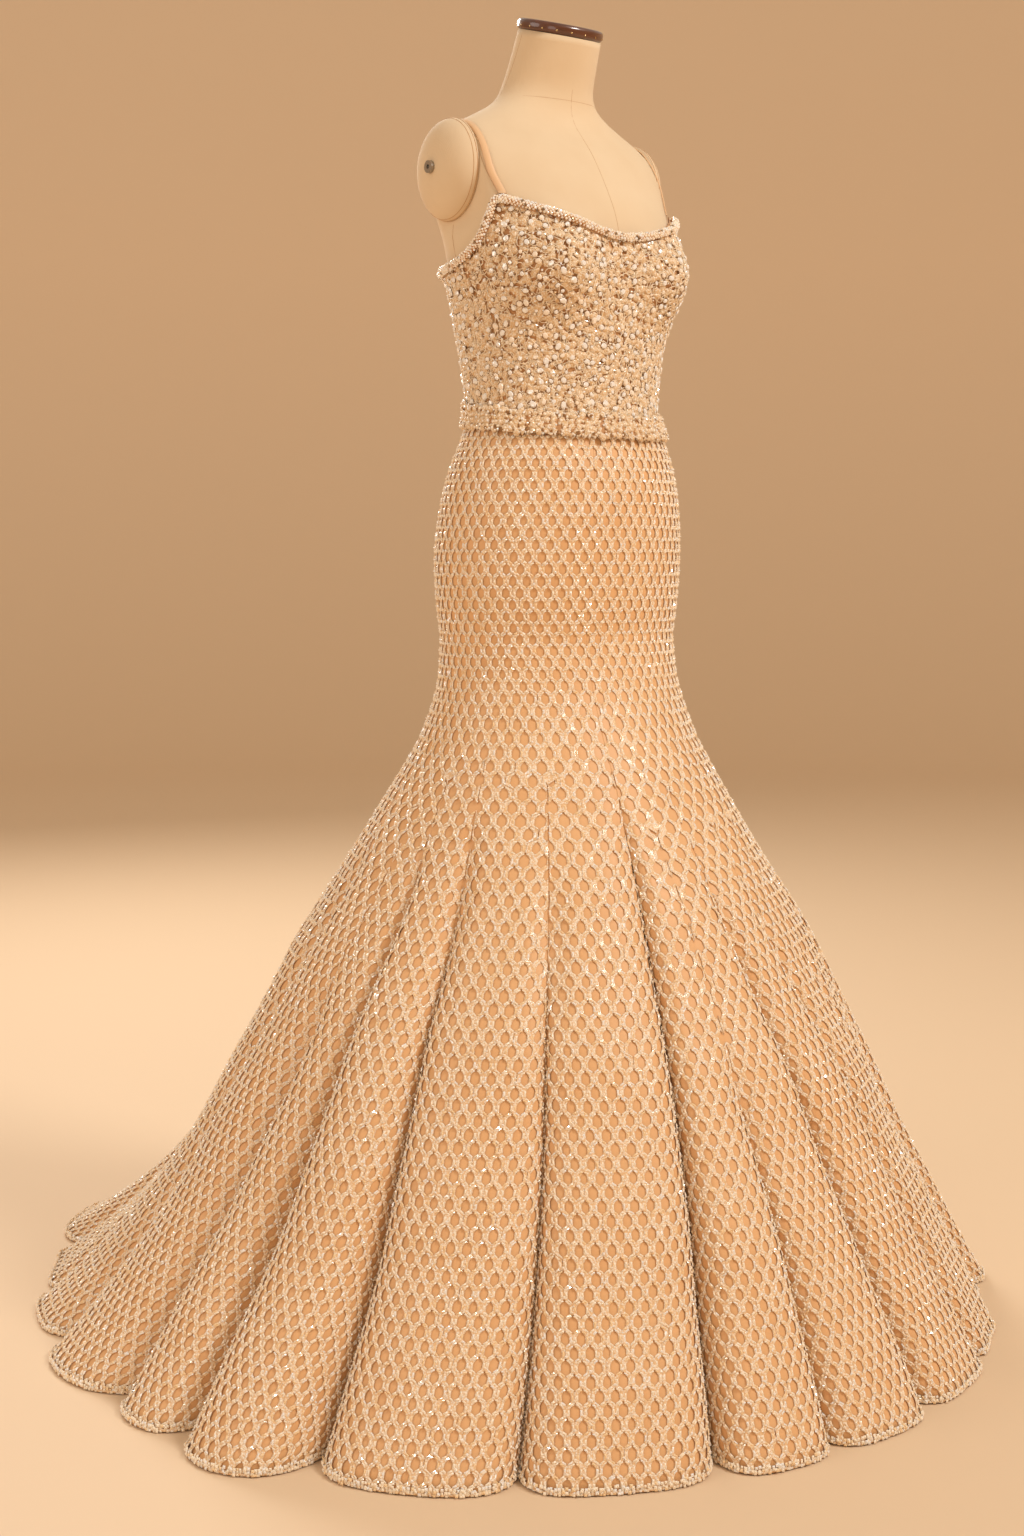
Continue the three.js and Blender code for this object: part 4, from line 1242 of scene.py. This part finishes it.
def fold_beads(layout, column, row, jitter):
    """Places and normals of the beads of one fold, with the run and length of its ring beads."""
    count = CELL["ring_beads"]
    turn = (np.arange(count)[None, :] + 0.5) * CELL["corners"] / count
    at_column, at_row = round_cell(column, row, turn, CELL["bead_out"], jitter)
    points, normals, keep, clear = on_net(layout, at_column, at_row)
    along = (np.roll(points, -1, 1) - np.roll(points, 1, 1)) / 2
    length = np.linalg.norm(along, axis=-1)
    keep &= clear & (length < STRAND["longest"]) & (at_row < layout.row[-1])
    beads = [(points[keep], normals[keep], unit(along[keep] + TINY), length[keep])]
    extra = (len(column), CELL["small_beads"])
    turn = random.uniform(0, CELL["corners"], extra)
    out = random.uniform(*CELL_SCATTER["small_out"], extra)
    for at_column, at_row in (round_cell(column, row, turn, out), (column[:, None], row[:, None])):
        points, normals, keep, clear = on_net(layout, at_column, at_row)
        keep &= clear & (at_row < layout.row[-1])
        beads.append((points[keep], normals[keep]))
    return beads


def band_piece(name, parts):
    points, faces, start = [], [], 0
    for some_points, some_faces in parts:
        points.append(some_points)
        faces.append(some_faces + start)
        start += len(some_points)
    return mesh_piece(name, np.concatenate(points), np.concatenate(faces), [NET_THREAD])


def ring_piece(name, points, normals, along, length):
    side = unit(np.cross(along, normals))
    lift = np.cross(side, along)
    wide = STRAND["half_width"] * random.uniform(*STRAND_SPREAD["wide"], len(points))
    tall = STRAND["height"] * random.uniform(*STRAND_SPREAD["tall"], len(points))
    sizes = np.stack([wide, length / 2 * STRAND["length"], tall], -1)
    places = points + lift * mix(RIM_LIFT, BAND_LIFT, CELL["bead_out"])
    return copies(name, "peak", places, (side, along, lift), sizes, STRAND_MIX, STRAND_SHARES)


def dot_piece(name, points, normals, half_width, height, materials, shares):
    """Peaked beads turned at random, on the band."""
    spin = random.uniform(0, math.pi, (len(points), 1))
    level = unit(np.cross(normals, UP) + TINY)
    axes = (*spin_pair(level, np.cross(normals, level), spin), normals)
    wide = half_width * random.uniform(*DOT_SPREAD["wide"], len(points))
    tall = height * random.uniform(*DOT_SPREAD["tall"], len(points))
    places = points + normals * BAND_LIFT * DOT_LIFT
    return copies(name, "peak", places, axes, np.stack([wide, wide, tall], -1), materials, shares)


def build_net(name, first, last):
    bands, beads = [], []
    for layout in layouts[first:last]:
        column, row = net_cells(layout)
        jitter = random.normal(0, CELL_SCATTER["opening"], (len(column), 1))
        column = column + random.normal(0, CELL_SCATTER["place"], len(column))
        bands.append(fold_band(layout, column, row, jitter))
        beads.append(fold_beads(layout, column, row, jitter))
    rings, smalls, knots = [[np.concatenate(group) for group in zip(*folds)] for folds in zip(*beads)]
    pieces = [
        band_piece(name, bands),
        ring_piece(name, *rings),
        dot_piece(name, *smalls, **SMALL),
        dot_piece(name, *knots, **KNOT),
    ]
    return settle(join(f"{name}_net", pieces), "beaded_net")


nets = {row["name"]: build_net(**row) for row in GORES}
print("faces of the nets:", {name: len(piece.data.polygons) for name, piece in nets.items()})

# %% [markdown]
# The hem is turned up over a thin cord, so its edge stands a little off the floor and follows every
# fold. The cord is covered in the same finely beaded thread as the net, and three rows of beads are
# sewn along it, none of them lower than the floor.

# %% Beaded hem
HEM_CORD = {"radius": 1.5 * MM, "inset": 1.0 * MM, "sides": 5}
HEM_BEAD = {"radius": 1.6 * MM, "step": 3.9 * MM, "scatter": 0.7 * MM, "spread": (0.8, 1.2), "lean": 0.35}
HEM_ROWS = (-0.6 * MM, 2.0 * MM, 5.0 * MM)
HEM_SHARES = [0.6, 0.15, 0.25]
FINE_STEPS = 8


def hem_line(first, last):
    """The bottom line of a gore at even steps."""
    stations = gore_stations(first, last)
    count = len(stations)
    fine = np.interp(np.linspace(0, count - 1, FINE_STEPS * count), np.arange(count), stations)
    run = run_along(skirt_point(fine, HEM_CORD["radius"] + HEM_LIFT))
    even = np.interp(np.arange(0, run[-1], HEM_BEAD["step"]), run, fine)
    return skirt_point(even, HEM_CORD["radius"] + HEM_LIFT)


def every_other(line):
    return np.concatenate([line[:-1:2], line[-1:]])


def build_hem():
    lines, beads = [], []
    for row in GORES:
        line = hem_line(row["first"], row["last"])
        core = every_other(line) - every_other(unit(line * LEVEL)) * HEM_CORD["inset"]
        lines.append((core, np.tile(UP, (len(core), 1))))
        along = unit(np.gradient(line, axis=0))
        outward = unit(np.cross(along, UP) + HEM_BEAD["lean"] * UP)
        side = unit(np.cross(outward, along))
        for lift in HEM_ROWS:
            radius = HEM_BEAD["radius"] * random.uniform(*HEM_BEAD["spread"], len(line))
            places = line + lift * UP + random.normal(0, HEM_BEAD["scatter"], line.shape)
            places[:, 2] = np.maximum(places[:, 2], math.sqrt(2) * radius)
            beads.append((places, along, side, outward, even_sizes(radius)))
    cord = tube_piece("hem_cord", lines, HEM_CORD["radius"], NET_THREAD, sides=HEM_CORD["sides"])
    places, along, side, outward, sizes = [np.concatenate(group) for group in zip(*beads)]
    edge = copies("hem_beads", "peak", places, (along, side, outward), sizes, STRAND_MIX, HEM_SHARES)
    return join("hem_cord", [cord, edge])


hem_cord = settle(build_hem(), "beaded_net")
print("hem with", len(hem_cord.data.polygons), "faces")

# %% [markdown]
# The bodice. Three panels of lace ground lie on the form from the waist seam to the top edge: one
# in front and two behind, which meet in the closed centre back seam. The top edge dips at the
# centre front, rises to a corner under each strap, and drops away below the arm.

# %% Bodice panels
TOP_EDGE = table("angle z", [
    (0, 1338), (15, 1342), (28, 1352), (38, 1362), (47, 1370), (57, 1379), (65, 1358), (72, 1338),
    (80, 1319), (88, 1310), (95, 1306), (115, 1303), (180, 1298),
])
SIDE_SEAM = 95
PANELS = [
    {"name": "bodice_front", "low": -SIDE_SEAM, "high": SIDE_SEAM},
    {"name": "bodice_back_left", "low": SIDE_SEAM, "high": 180},
    {"name": "bodice_back_right", "low": -180, "high": -SIDE_SEAM},
]
PANEL_ROWS = 28
PANEL_STEP = 2
PANEL_GAP = 0.06
GROUND_SINK = 0.6 * MM
GROUND_THICK = 1.1 * MM


def top_edge(angle):
    return np.interp(np.degrees(np.abs(angle)), TOP_EDGE["angle"], TOP_EDGE["z"] * MM)


def on_bodice(angle, z, lift=0.0):
    return off_form(angle, z, FORM_GAP + WALL + lift)


def build_panel(name, low, high):
    steps = int((high - low) / PANEL_STEP) + 1
    angles = np.radians(np.linspace(low + PANEL_GAP, high - PANEL_GAP, steps))[None, :]
    share = np.linspace(0, 1, PANEL_ROWS)[:, None]
    z = mix(waist_z(angles) + SEAM_GAP / 2, top_edge(angles), share)
    outer = on_bodice(angles, z, -GROUND_SINK)
    inner = on_bodice(angles, z, -GROUND_SINK - GROUND_THICK)
    return settle(cloth_piece(f"{name}_ground", outer, inner, LACE_GROUND_WITH_PAINTED_SHADE), "beaded_lace", name)


grounds = {row["name"]: build_panel(**row) for row in PANELS}
print("bodice panels:", list(grounds))

# %% [markdown]
# The beadwork of the bodice is a crowded garden of raised petals, corded petals, cut stones, pearls
# and tiny beads, in no strict pattern but evenly spread. Each kind is scattered over a jittered
# grid, so there are no bare patches and no rows. The ground shows only as thin dark lines between
# the petals, its darkness partly its own colour and partly painted shade, and each stone sits in a
# small setting on top of them.

# %% Scattered beadwork
BEADWORK = {
    "pads": {"pitch": 9.6 * MM, "length": 7.8 * MM, "width": 4.6 * MM, "height": 2.2 * MM},
    "cords": {"pitch": 12.0 * MM, "length": 8.4 * MM, "width": 5.0 * MM, "radius": 0.7 * MM},
    "stones": {"pitch": 14.5 * MM, "radius": 2.9 * MM, "lift": 1.6 * MM},
    "pearls": {"pitch": 14.0 * MM, "radius": 1.8 * MM, "lift": 1.4 * MM},
    "grains": {"pitch": 9.0 * MM, "radius": 1.1 * MM, "lift": 1.4 * MM},
    "bars": {"pitch": 12.0 * MM, "length": 2.8 * MM, "radius": 0.8 * MM, "lift": 1.5 * MM},
}
MIXTURES = {
    "pearls": {"materials": [PEARL, CUT_BEAD, IVORY_BEAD], "shares": [0.4, 0.25, 0.35]},
    "grains": {"materials": [IVORY_BEAD, GOLD_BEAD, CUT_BEAD, DARK_CUT], "shares": [0.5, 0.2, 0.25, 0.05]},
    "bars": {"materials": [IVORY_BEAD, CUT_BEAD], "shares": [0.6, 0.4]},
    "stones": {"materials": [CUT_BEAD, PEARL], "shares": [0.75, 0.25]},
}
GIRTH_RADIUS = 138 * MM
SCATTER = {
    "off": 0.38, "row": 0.9, "top": 1385 * MM,
    "above_belt": 10 * MM, "below_edge": 5 * MM, "side": 0.008,
}
PAD_SPREAD = {"size": (0.75, 1.2), "height": (0.7, 1.2)}
CORD_SPREAD = {"size": (0.7, 1.25), "bend": (-0.35, 0.35)}
CORD_LOOP = {"steps": 12, "sides": 3, "lift": 1.2 * MM, "below_edge": 1 * MM}
STONE_SPREAD = {"radius": (0.7, 1.3), "long": (1, 1.4)}
STONE = {"height": 0.8, "rim": 1.28, "rim_height": 0.7 * MM, "above_rim": 0.4 * MM}
BAR_SPREAD = (0.7, 1.3)
DOT_RADII = (0.65, 1.2)


def scatter(low, high, pitch):
    """Angles and heights spread evenly over a panel, each a little off its place in the grid."""
    across = pitch / GIRTH_RADIUS
    rise = pitch * SCATTER["row"]
    angles = np.arange(math.radians(low) + across / 2, math.radians(high), across)
    heights = np.arange(WAIST_Z - WAIST_DROP, SCATTER["top"], rise)
    angle, z = [grid.ravel() for grid in np.meshgrid(angles, heights)]
    odd = np.round((z - heights[0]) / rise) % 2
    off = (-SCATTER["off"], SCATTER["off"])
    angle = angle + odd * across / 2 + random.uniform(*off, len(angle)) * across
    z = z + random.uniform(*off, len(z)) * pitch
    inside = (z > waist_z(angle) + SCATTER["above_belt"]) & (z < top_edge(angle) - SCATTER["below_edge"])
    inside &= angle > math.radians(low) + SCATTER["side"]
    inside &= angle < math.radians(high) - SCATTER["side"]
    return angle[inside], z[inside]


def body_axes(angle, z, spin):
    """Directions on the bodice: one along the surface, turned by spin, one beside it, and out."""
    out = form_normal(angle, z)
    level = unit(np.cross(UP, out))
    return (*spin_pair(level, np.cross(out, level), spin[:, None]), out)


def lay_copies(name, shape, angle, z, lift, sizes, materials, shares, smooth=False):
    spin = spins(len(angle))
    places = on_bodice(angle, z, lift)
    return copies(name, shape, places, body_axes(angle, z, spin), sizes, materials, shares, smooth)


def lay_pads(name, angle, z, length, width, height):
    """Raised petals, each turned at random."""
    size = random.uniform(*PAD_SPREAD["size"], len(angle))
    tall = height * random.uniform(*PAD_SPREAD["height"], len(angle))
    sizes = np.stack([length * size, width * size, tall], -1)
    return lay_copies(name, "pad", angle, z, 0, sizes, [PETAL_PAD], [1.0], smooth=True)


def lay_cords(name, angle, z, length, width, radius):
    """Closed loops of cord in the shape of petals, laid over the pads."""
    flat = petal(CORD_LOOP["steps"])
    along, beside, out = body_axes(angle, z, spins(len(angle)))
    size = random.uniform(*CORD_SPREAD["size"], (len(angle), 1, 1))
    bend = random.uniform(*CORD_SPREAD["bend"], (len(angle), 1, 1))
    reach = flat[None, :, :1] * length * size
    spread = flat[None, :, 1:] * width * size + bend * reach**2 / length
    middles = on_bodice(angle, z, CORD_LOOP["lift"])[:, None]
    lines = middles + reach * along[:, None] + spread * beside[:, None]
    line_angle = np.arctan2(lines[..., 0], -(lines[..., 1] - FORM["centre"](lines[..., 2])))
    normals = np.repeat(out[:, None], CORD_LOOP["steps"], 1)
    keep = (lines[..., 2] < top_edge(line_angle) - CORD_LOOP["below_edge"]).all(1)
    pairs = [(lines[index], normals[index]) for index in np.nonzero(keep)[0]]
    return tube_piece(name, pairs, radius, SILVER_CORD, sides=CORD_LOOP["sides"], closed=True)


def lay_stones(name, angle, z, radius, lift, materials, shares):
    """Cut stones, each in a setting that shows as a dark ring."""
    radius = radius * random.uniform(*STONE_SPREAD["radius"], len(angle))
    long = radius * random.uniform(*STONE_SPREAD["long"], len(angle))
    axes = body_axes(angle, z, spins(len(angle)))
    rim_height = np.full(len(angle), STONE["rim_height"])
    rim = np.stack([long * STONE["rim"], radius * STONE["rim"], rim_height], -1)
    settings = copies(name, "setting", on_bodice(angle, z, lift), axes, rim, [SETTING], [1.0])
    sizes = np.stack([long, radius, radius * STONE["height"]], -1)
    places = on_bodice(angle, z, lift + STONE["above_rim"])
    return [settings, copies(name, "stone", places, axes, sizes, materials, shares)]


def lay_bars(name, angle, z, length, radius, lift, materials, shares):
    along, beside, out = body_axes(angle, z, spins(len(angle)))
    long = length * random.uniform(*BAR_SPREAD, len(angle))
    thick = np.full(len(angle), radius)
    sizes = np.stack([thick, thick, long], -1)
    places = on_bodice(angle, z, lift)
    return copies(name, "bugle", places, (beside, out, along), sizes, materials, shares)


def lay_dots(name, shape, angle, z, radius, lift, materials, shares):
    radius = radius * random.uniform(*DOT_RADII, len(angle))
    return lay_copies(name, shape, angle, z, lift, even_sizes(radius), materials, shares)


def bead_panel(name, low, high):
    spots, rows = {}, {}
    for kind, row in BEADWORK.items():
        spots[kind] = scatter(low, high, row["pitch"])
        rows[kind] = {key: value for key, value in row.items() if key != "pitch"} | MIXTURES.get(kind, {})
    parts = [
        lay_pads(name, *spots["pads"], **rows["pads"]),
        lay_cords(name, *spots["cords"], **rows["cords"]),
        *lay_stones(name, *spots["stones"], **rows["stones"]),
        lay_dots(name, "pearl", *spots["pearls"], **rows["pearls"]),
        lay_dots(name, "peak", *spots["grains"], **rows["grains"]),
        lay_bars(name, *spots["bars"], **rows["bars"]),
    ]
    return settle(join(f"{name}_beadwork", parts), "beaded_lace")


beadwork = {row["name"]: bead_panel(**row) for row in PANELS}
print("faces of the beadwork:", {name: len(piece.data.polygons) for name, piece in beadwork.items()})

# %% [markdown]
# The top edge is bound with a roll, thick with pearls and cut beads. The roll follows the edge
# round the gown, and the beads sit on its outer half in close rows.

# %% Rolled trim
ROLL = {"radius": 4.3 * MM, "out": 4.2 * MM, "drop": 4.6 * MM, "steps": 420, "sides": 8}
ROLL_ROWS = np.radians(np.linspace(-75, 100, 6))
ROLL_BEAD = {
    "radius": 2.0 * MM, "spacing": 2.15, "spread": (0.75, 1.2),
    "sunk": 0.4 * MM, "scatter": 0.25 * MM,
}
ROLL_MIX = [PEARL, CUT_BEAD, IVORY_BEAD, DARK_CUT]
ROLL_SHARES = [0.36, 0.34, 0.22, 0.08]
BACK_OPENING = 179.9
EDGE_STEPS = 4000
EDGE_SOFT = 7


def edge_line():
    """Points along the top edge at even steps, their directions out of the form, and the length."""
    angle = np.radians(np.linspace(-BACK_OPENING, BACK_OPENING, EDGE_STEPS))
    run = run_along(on_bodice(angle, top_edge(angle) - ROLL["drop"], ROLL["out"]))
    even = np.interp(np.linspace(0, run[-1], ROLL["steps"]), run, angle)
    padded = np.pad(top_edge(even), EDGE_SOFT // 2, mode="edge")
    z = np.convolve(padded, np.ones(EDGE_SOFT) / EDGE_SOFT, mode="valid") - ROLL["drop"]
    return on_bodice(even, z, ROLL["out"]), form_normal(even, z), run[-1]


def build_trim():
    line, out, length = edge_line()
    pieces = [tube_piece("roll", [(line, out)], ROLL["radius"], LACE_GROUND_WITH_PAINTED_SHADE, sides=ROLL["sides"])]
    along = unit(np.gradient(line, axis=0))
    side = unit(np.cross(out, along))
    count = int(length / (ROLL_BEAD["spacing"] * ROLL_BEAD["radius"]))
    for row, turn in enumerate(ROLL_ROWS):
        offset = (row % 2) / 2
        spots = np.clip(np.arange(count) + offset, 0, count) / count * (ROLL["steps"] - 1)
        low = np.clip(spots.astype(int), 0, ROLL["steps"] - 2)
        at = mix(line[low], line[low + 1], (spots - low)[:, None])
        outward = unit(math.cos(turn) * out[low] + math.sin(turn) * side[low])
        axes = (along[low], unit(np.cross(along[low], outward)), outward)
        sizes = even_sizes(ROLL_BEAD["radius"] * random.uniform(*ROLL_BEAD["spread"], count))
        places = at + outward * (ROLL["radius"] - ROLL_BEAD["sunk"])
        places = places + random.normal(0, ROLL_BEAD["scatter"], (count, 3))
        pieces.append(copies("beads", "pearl", places, axes, sizes, ROLL_MIX, ROLL_SHARES))
    return settle(join("neckline_roll", pieces), "beaded_lace", "neckline_trim")


trim = build_trim()
print("trim with", len(trim.data.polygons), "faces")

# %% [markdown]
# The belt is a narrow band over the waist seam, crowded with petals, tiny beads, settings and
# pearls, and with a close row of pearls along each edge. Some of them stand over the edges, so the
# edges look rough. It opens at the centre back with the zip.

# %% Belt
BELT = {
    "height": 25 * MM, "gap": 1.6 * MM, "thickness": 2.6 * MM, "sides": 240, "rows": 7,
    "radius": 115 * MM,
}
BELT_BULGE = {"middle": 1.6 * MM, "edge": -0.6 * MM}
BELT_EDGE = {
    "step": 3.6 * MM, "across": 0.93, "scatter": 0.03, "radius": 2.1 * MM, "spread": (0.8, 1.2),
    "lift": 0.6 * MM, "back": 0.02,
}
BELT_EDGE_MIX = {"materials": [PEARL, CUT_BEAD, DARK_CUT], "shares": [0.6, 0.3, 0.1]}
BELT_SCATTER = {"along": 0.4, "across": 0.12, "back": 0.03, "size": (0.75, 1.2)}
BELT_BEADS = [
    {
        "shape": "pad", "pitch": 8.0 * MM, "edge": 0.85, "lift": 0.8 * MM,
        "size": (6.6 * MM, 4.2 * MM, 2.7 * MM),
        "materials": [PETAL_PAD], "shares": [1.0],
    },
    {
        "shape": "peak", "pitch": 6.2 * MM, "edge": 0.98, "lift": 2.4 * MM,
        "size": (1.2 * MM, 1.2 * MM, 1.5 * MM),
        "materials": STRAND_MIX, "shares": [0.6, 0.15, 0.25],
    },
    {
        "shape": "setting", "pitch": 14.0 * MM, "edge": 0.8, "lift": 2.8 * MM,
        "size": (2.6 * MM, 2.6 * MM, 1.0 * MM),
        "materials": [SETTING], "shares": [1.0],
    },
    {
        "shape": "pearl", "pitch": 8.0 * MM, "edge": 0.75, "lift": 2.6 * MM,
        "size": (2.0 * MM, 2.0 * MM, 2.0 * MM),
        "materials": [PEARL, CUT_BEAD, IVORY_BEAD], "shares": [0.4, 0.35, 0.25],
    },
]


def on_belt(angle, across, lift=0.0):
    """A point of the belt: across goes from -1 at its lower edge to 1 at its upper edge."""
    inside = FORM_GAP + WALL + BELT["gap"]
    return off_form(angle, waist_z(angle) + across * BELT["height"] / 2, inside + BELT["thickness"] + lift)


def build_belt():
    angles = np.radians(np.linspace(-BACK_OPENING, BACK_OPENING, BELT["sides"]))[None, :]
    across = np.linspace(-1, 1, BELT["rows"])[:, None]
    outer = on_belt(angles, across, (1 - across**2) * BELT_BULGE["middle"] + BELT_BULGE["edge"])
    inner = on_belt(angles, across, -BELT["thickness"])
    band = settle(cloth_piece("belt_band", outer, inner, LACE_GROUND_WITH_PAINTED_SHADE), "beaded_lace", "waist_belt")
    return band, settle(join("belt_beadwork", bead_belt()), "beaded_lace")


def belt_spots(pitch, edge):
    """Angles and shares of the height spread over the belt, each a little off its place."""
    turns = np.arange(-math.pi + BELT_SCATTER["back"], math.pi - BELT_SCATTER["back"], pitch / BELT["radius"])
    rows = np.linspace(-edge, edge, int(BELT["height"] / pitch) + 1)
    angle, across = [grid.ravel() for grid in np.meshgrid(turns, rows)]
    off = random.uniform(-BELT_SCATTER["along"], BELT_SCATTER["along"], len(angle))
    angle = angle + off * pitch / BELT["radius"]
    return angle, across + random.uniform(-BELT_SCATTER["across"], BELT_SCATTER["across"], len(angle))


def edge_pearls():
    """A close row of pearls along each edge of the belt."""
    count = int(2 * math.pi * BELT["radius"] / BELT_EDGE["step"])
    turns = np.linspace(-math.pi + BELT_EDGE["back"], math.pi - BELT_EDGE["back"], count)
    angle = np.tile(turns, 2)
    across = np.repeat([-1.0, 1.0], count) * BELT_EDGE["across"]
    across = across + random.normal(0, BELT_EDGE["scatter"], 2 * count)
    radius = BELT_EDGE["radius"] * random.uniform(*BELT_EDGE["spread"], 2 * count)
    axes = body_axes(angle, waist_z(angle), spins(2 * count))
    places = on_belt(angle, across, BELT_EDGE["lift"])
    return copies("edges", "pearl", places, axes, even_sizes(radius), **BELT_EDGE_MIX)


def bead_belt():
    pieces = [edge_pearls()]
    for kind in BELT_BEADS:
        angle, across = belt_spots(kind["pitch"], kind["edge"])
        axes = body_axes(angle, waist_z(angle), spins(len(angle)))
        sizes = random.uniform(*BELT_SCATTER["size"], (len(angle), 1)) * np.array(kind["size"])
        places = on_belt(angle, across, kind["lift"])
        mixture = {"materials": kind["materials"], "shares": kind["shares"]}
        smooth = kind["shape"] == "pad"
        pieces.append(copies("belt", kind["shape"], places, axes, sizes, **mixture, smooth=smooth))
    return pieces


belt, belt_beads = build_belt()
print("belt beadwork with", len(belt_beads.data.polygons), "faces")

# %% [markdown]
# The straps are narrow satin ribbons that hug the shoulder beside the arm plate. Each one is found
# by looking out from a point inside the shoulder and stopping where the form ends, which works
# over the top of the shoulder as well as down both sides.

# %% Straps
STRAP = {"width": 7 * MM, "thickness": 1.2 * MM, "gap": 0.8 * MM, "steps": 90, "reach": 260 * MM}
STRAP_PIVOT = {"y": 35 * MM, "z": 1388 * MM}
STRAP_PATH = table("turn x", [
    (-96, 129), (-72, 135), (-35, 133), (0, 129), (45, 124), (95, 117), (151.3, 110),
])
HALVINGS = 40
SLOPE_STEP = 0.5 * MM
STRAP_SECTION = [(-0.5, 0), (-0.42, 1), (0, 1.25), (0.42, 1), (0.5, 0), (0, 0)]


def form_side(point):
    """Less than zero inside the form, in the shoulders."""
    x, y, z = np.moveaxis(point, -1, 0)
    ahead = y < FORM["centre"](z)
    depth = np.where(ahead, FORM["front"](z), FORM["back"](z))
    along = (y + np.where(ahead, bust_at(x, z), 0) - FORM["centre"](z)) / depth
    return (x / FORM["width"](z)) ** 2 + along**2 - 1


def shoulder_point(x, turn):
    """Where a ray from the pivot, at this distance from the middle, leaves the form."""
    inside = np.zeros_like(turn)
    outside = np.full_like(turn, STRAP["reach"])

    def on_ray(length):
        height = np.minimum(STRAP_PIVOT["z"] + length * np.cos(turn), FORM_TOP)
        return np.stack([x, STRAP_PIVOT["y"] + length * np.sin(turn), height], -1)

    for halving in range(HALVINGS):
        middle = (inside + outside) / 2
        within = form_side(on_ray(middle)) < 0
        inside = np.where(within, middle, inside)
        outside = np.where(within, outside, middle)
    return on_ray(inside)


def shoulder_normal(point):
    slopes = []
    for axis in range(3):
        step = np.zeros(3)
        step[axis] = SLOPE_STEP
        slopes.append(form_side(point + step) - form_side(point - step))
    return unit(np.stack(slopes, -1))


def build_strap(name, side):
    degrees = np.linspace(STRAP_PATH["turn"][0], STRAP_PATH["turn"][-1], STRAP["steps"])
    middle = curve(STRAP_PATH["turn"], STRAP_PATH["x"] * MM)(degrees)
    rings = []
    for beside, lift in STRAP_SECTION:
        point = shoulder_point(middle + beside * STRAP["width"], np.radians(degrees))
        rings.append(point + shoulder_normal(point) * (STRAP["gap"] + lift * STRAP["thickness"]))
    ring = np.stack(rings, 1) * np.array([side, 1, 1])
    sides = len(STRAP_SECTION)
    faces = grid_faces(STRAP["steps"], sides, closed=True)
    ends = [np.arange(sides), np.arange(sides)[::-1] + (STRAP["steps"] - 1) * sides]
    caps = np.concatenate([np.stack([end[[0, 1, 2, 3]], end[[0, 3, 4, 5]]]) for end in ends])
    piece = mesh_piece(f"{name}_ribbon", ring.reshape(-1, 3), np.concatenate([faces, caps]), [STRAP_SATIN])
    return settle(piece, "satin", name)


straps = [build_strap("strap_left", 1), build_strap("strap_right", -1)]
print("straps:", [strap.name for strap in straps])

# %% [markdown]
# Last, the cut. The size that every piece of cloth was cut to is listed, and the area of each
# finished mesh is printed beside it.

# %% The cut of every piece
CUT = {
    "skirt_front": (0.62, 1.18, 0.34),
    "skirt_side_front_left": (0.80, 1.20, 0.45),
    "skirt_side_front_right": (0.90, 1.22, 0.52),
    "skirt_side_back_left": (0.72, 1.24, 0.41),
    "skirt_side_back_right": (0.75, 1.26, 0.42),
    "skirt_back_left": (0.95, 1.42, 0.53),
    "skirt_back_right": (0.95, 1.42, 0.52),
    "bodice_front": (0.50, 0.28, 0.105),
    "bodice_back_left": (0.22, 0.20, 0.034),
    "bodice_back_right": (0.22, 0.20, 0.034),
}


def cloth_area(piece):
    """Half the area of a thin cloth, because it has an outer and an inner face."""
    mesh = piece.data
    areas = np.zeros(len(mesh.polygons))
    mesh.polygons.foreach_get("area", areas)
    return areas.sum() / 2


for name, (width, length, area) in CUT.items():
    piece = satin_gores.get(name) or grounds.get(name)
    print(name, "measures", round(cloth_area(piece), 3), "of", area, "square metres")
    rests_on = ["waist_belt"] if name in nets else ["form_linen_body"]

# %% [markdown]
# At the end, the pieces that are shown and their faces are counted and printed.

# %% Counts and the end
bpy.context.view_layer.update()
shown = [thing for thing in bpy.data.objects if thing.type == "MESH" and not thing.hide_render]
faces = sum(len(thing.data.polygons) for thing in shown)
print(len(shown), "pieces with the floor, and", faces, "faces")
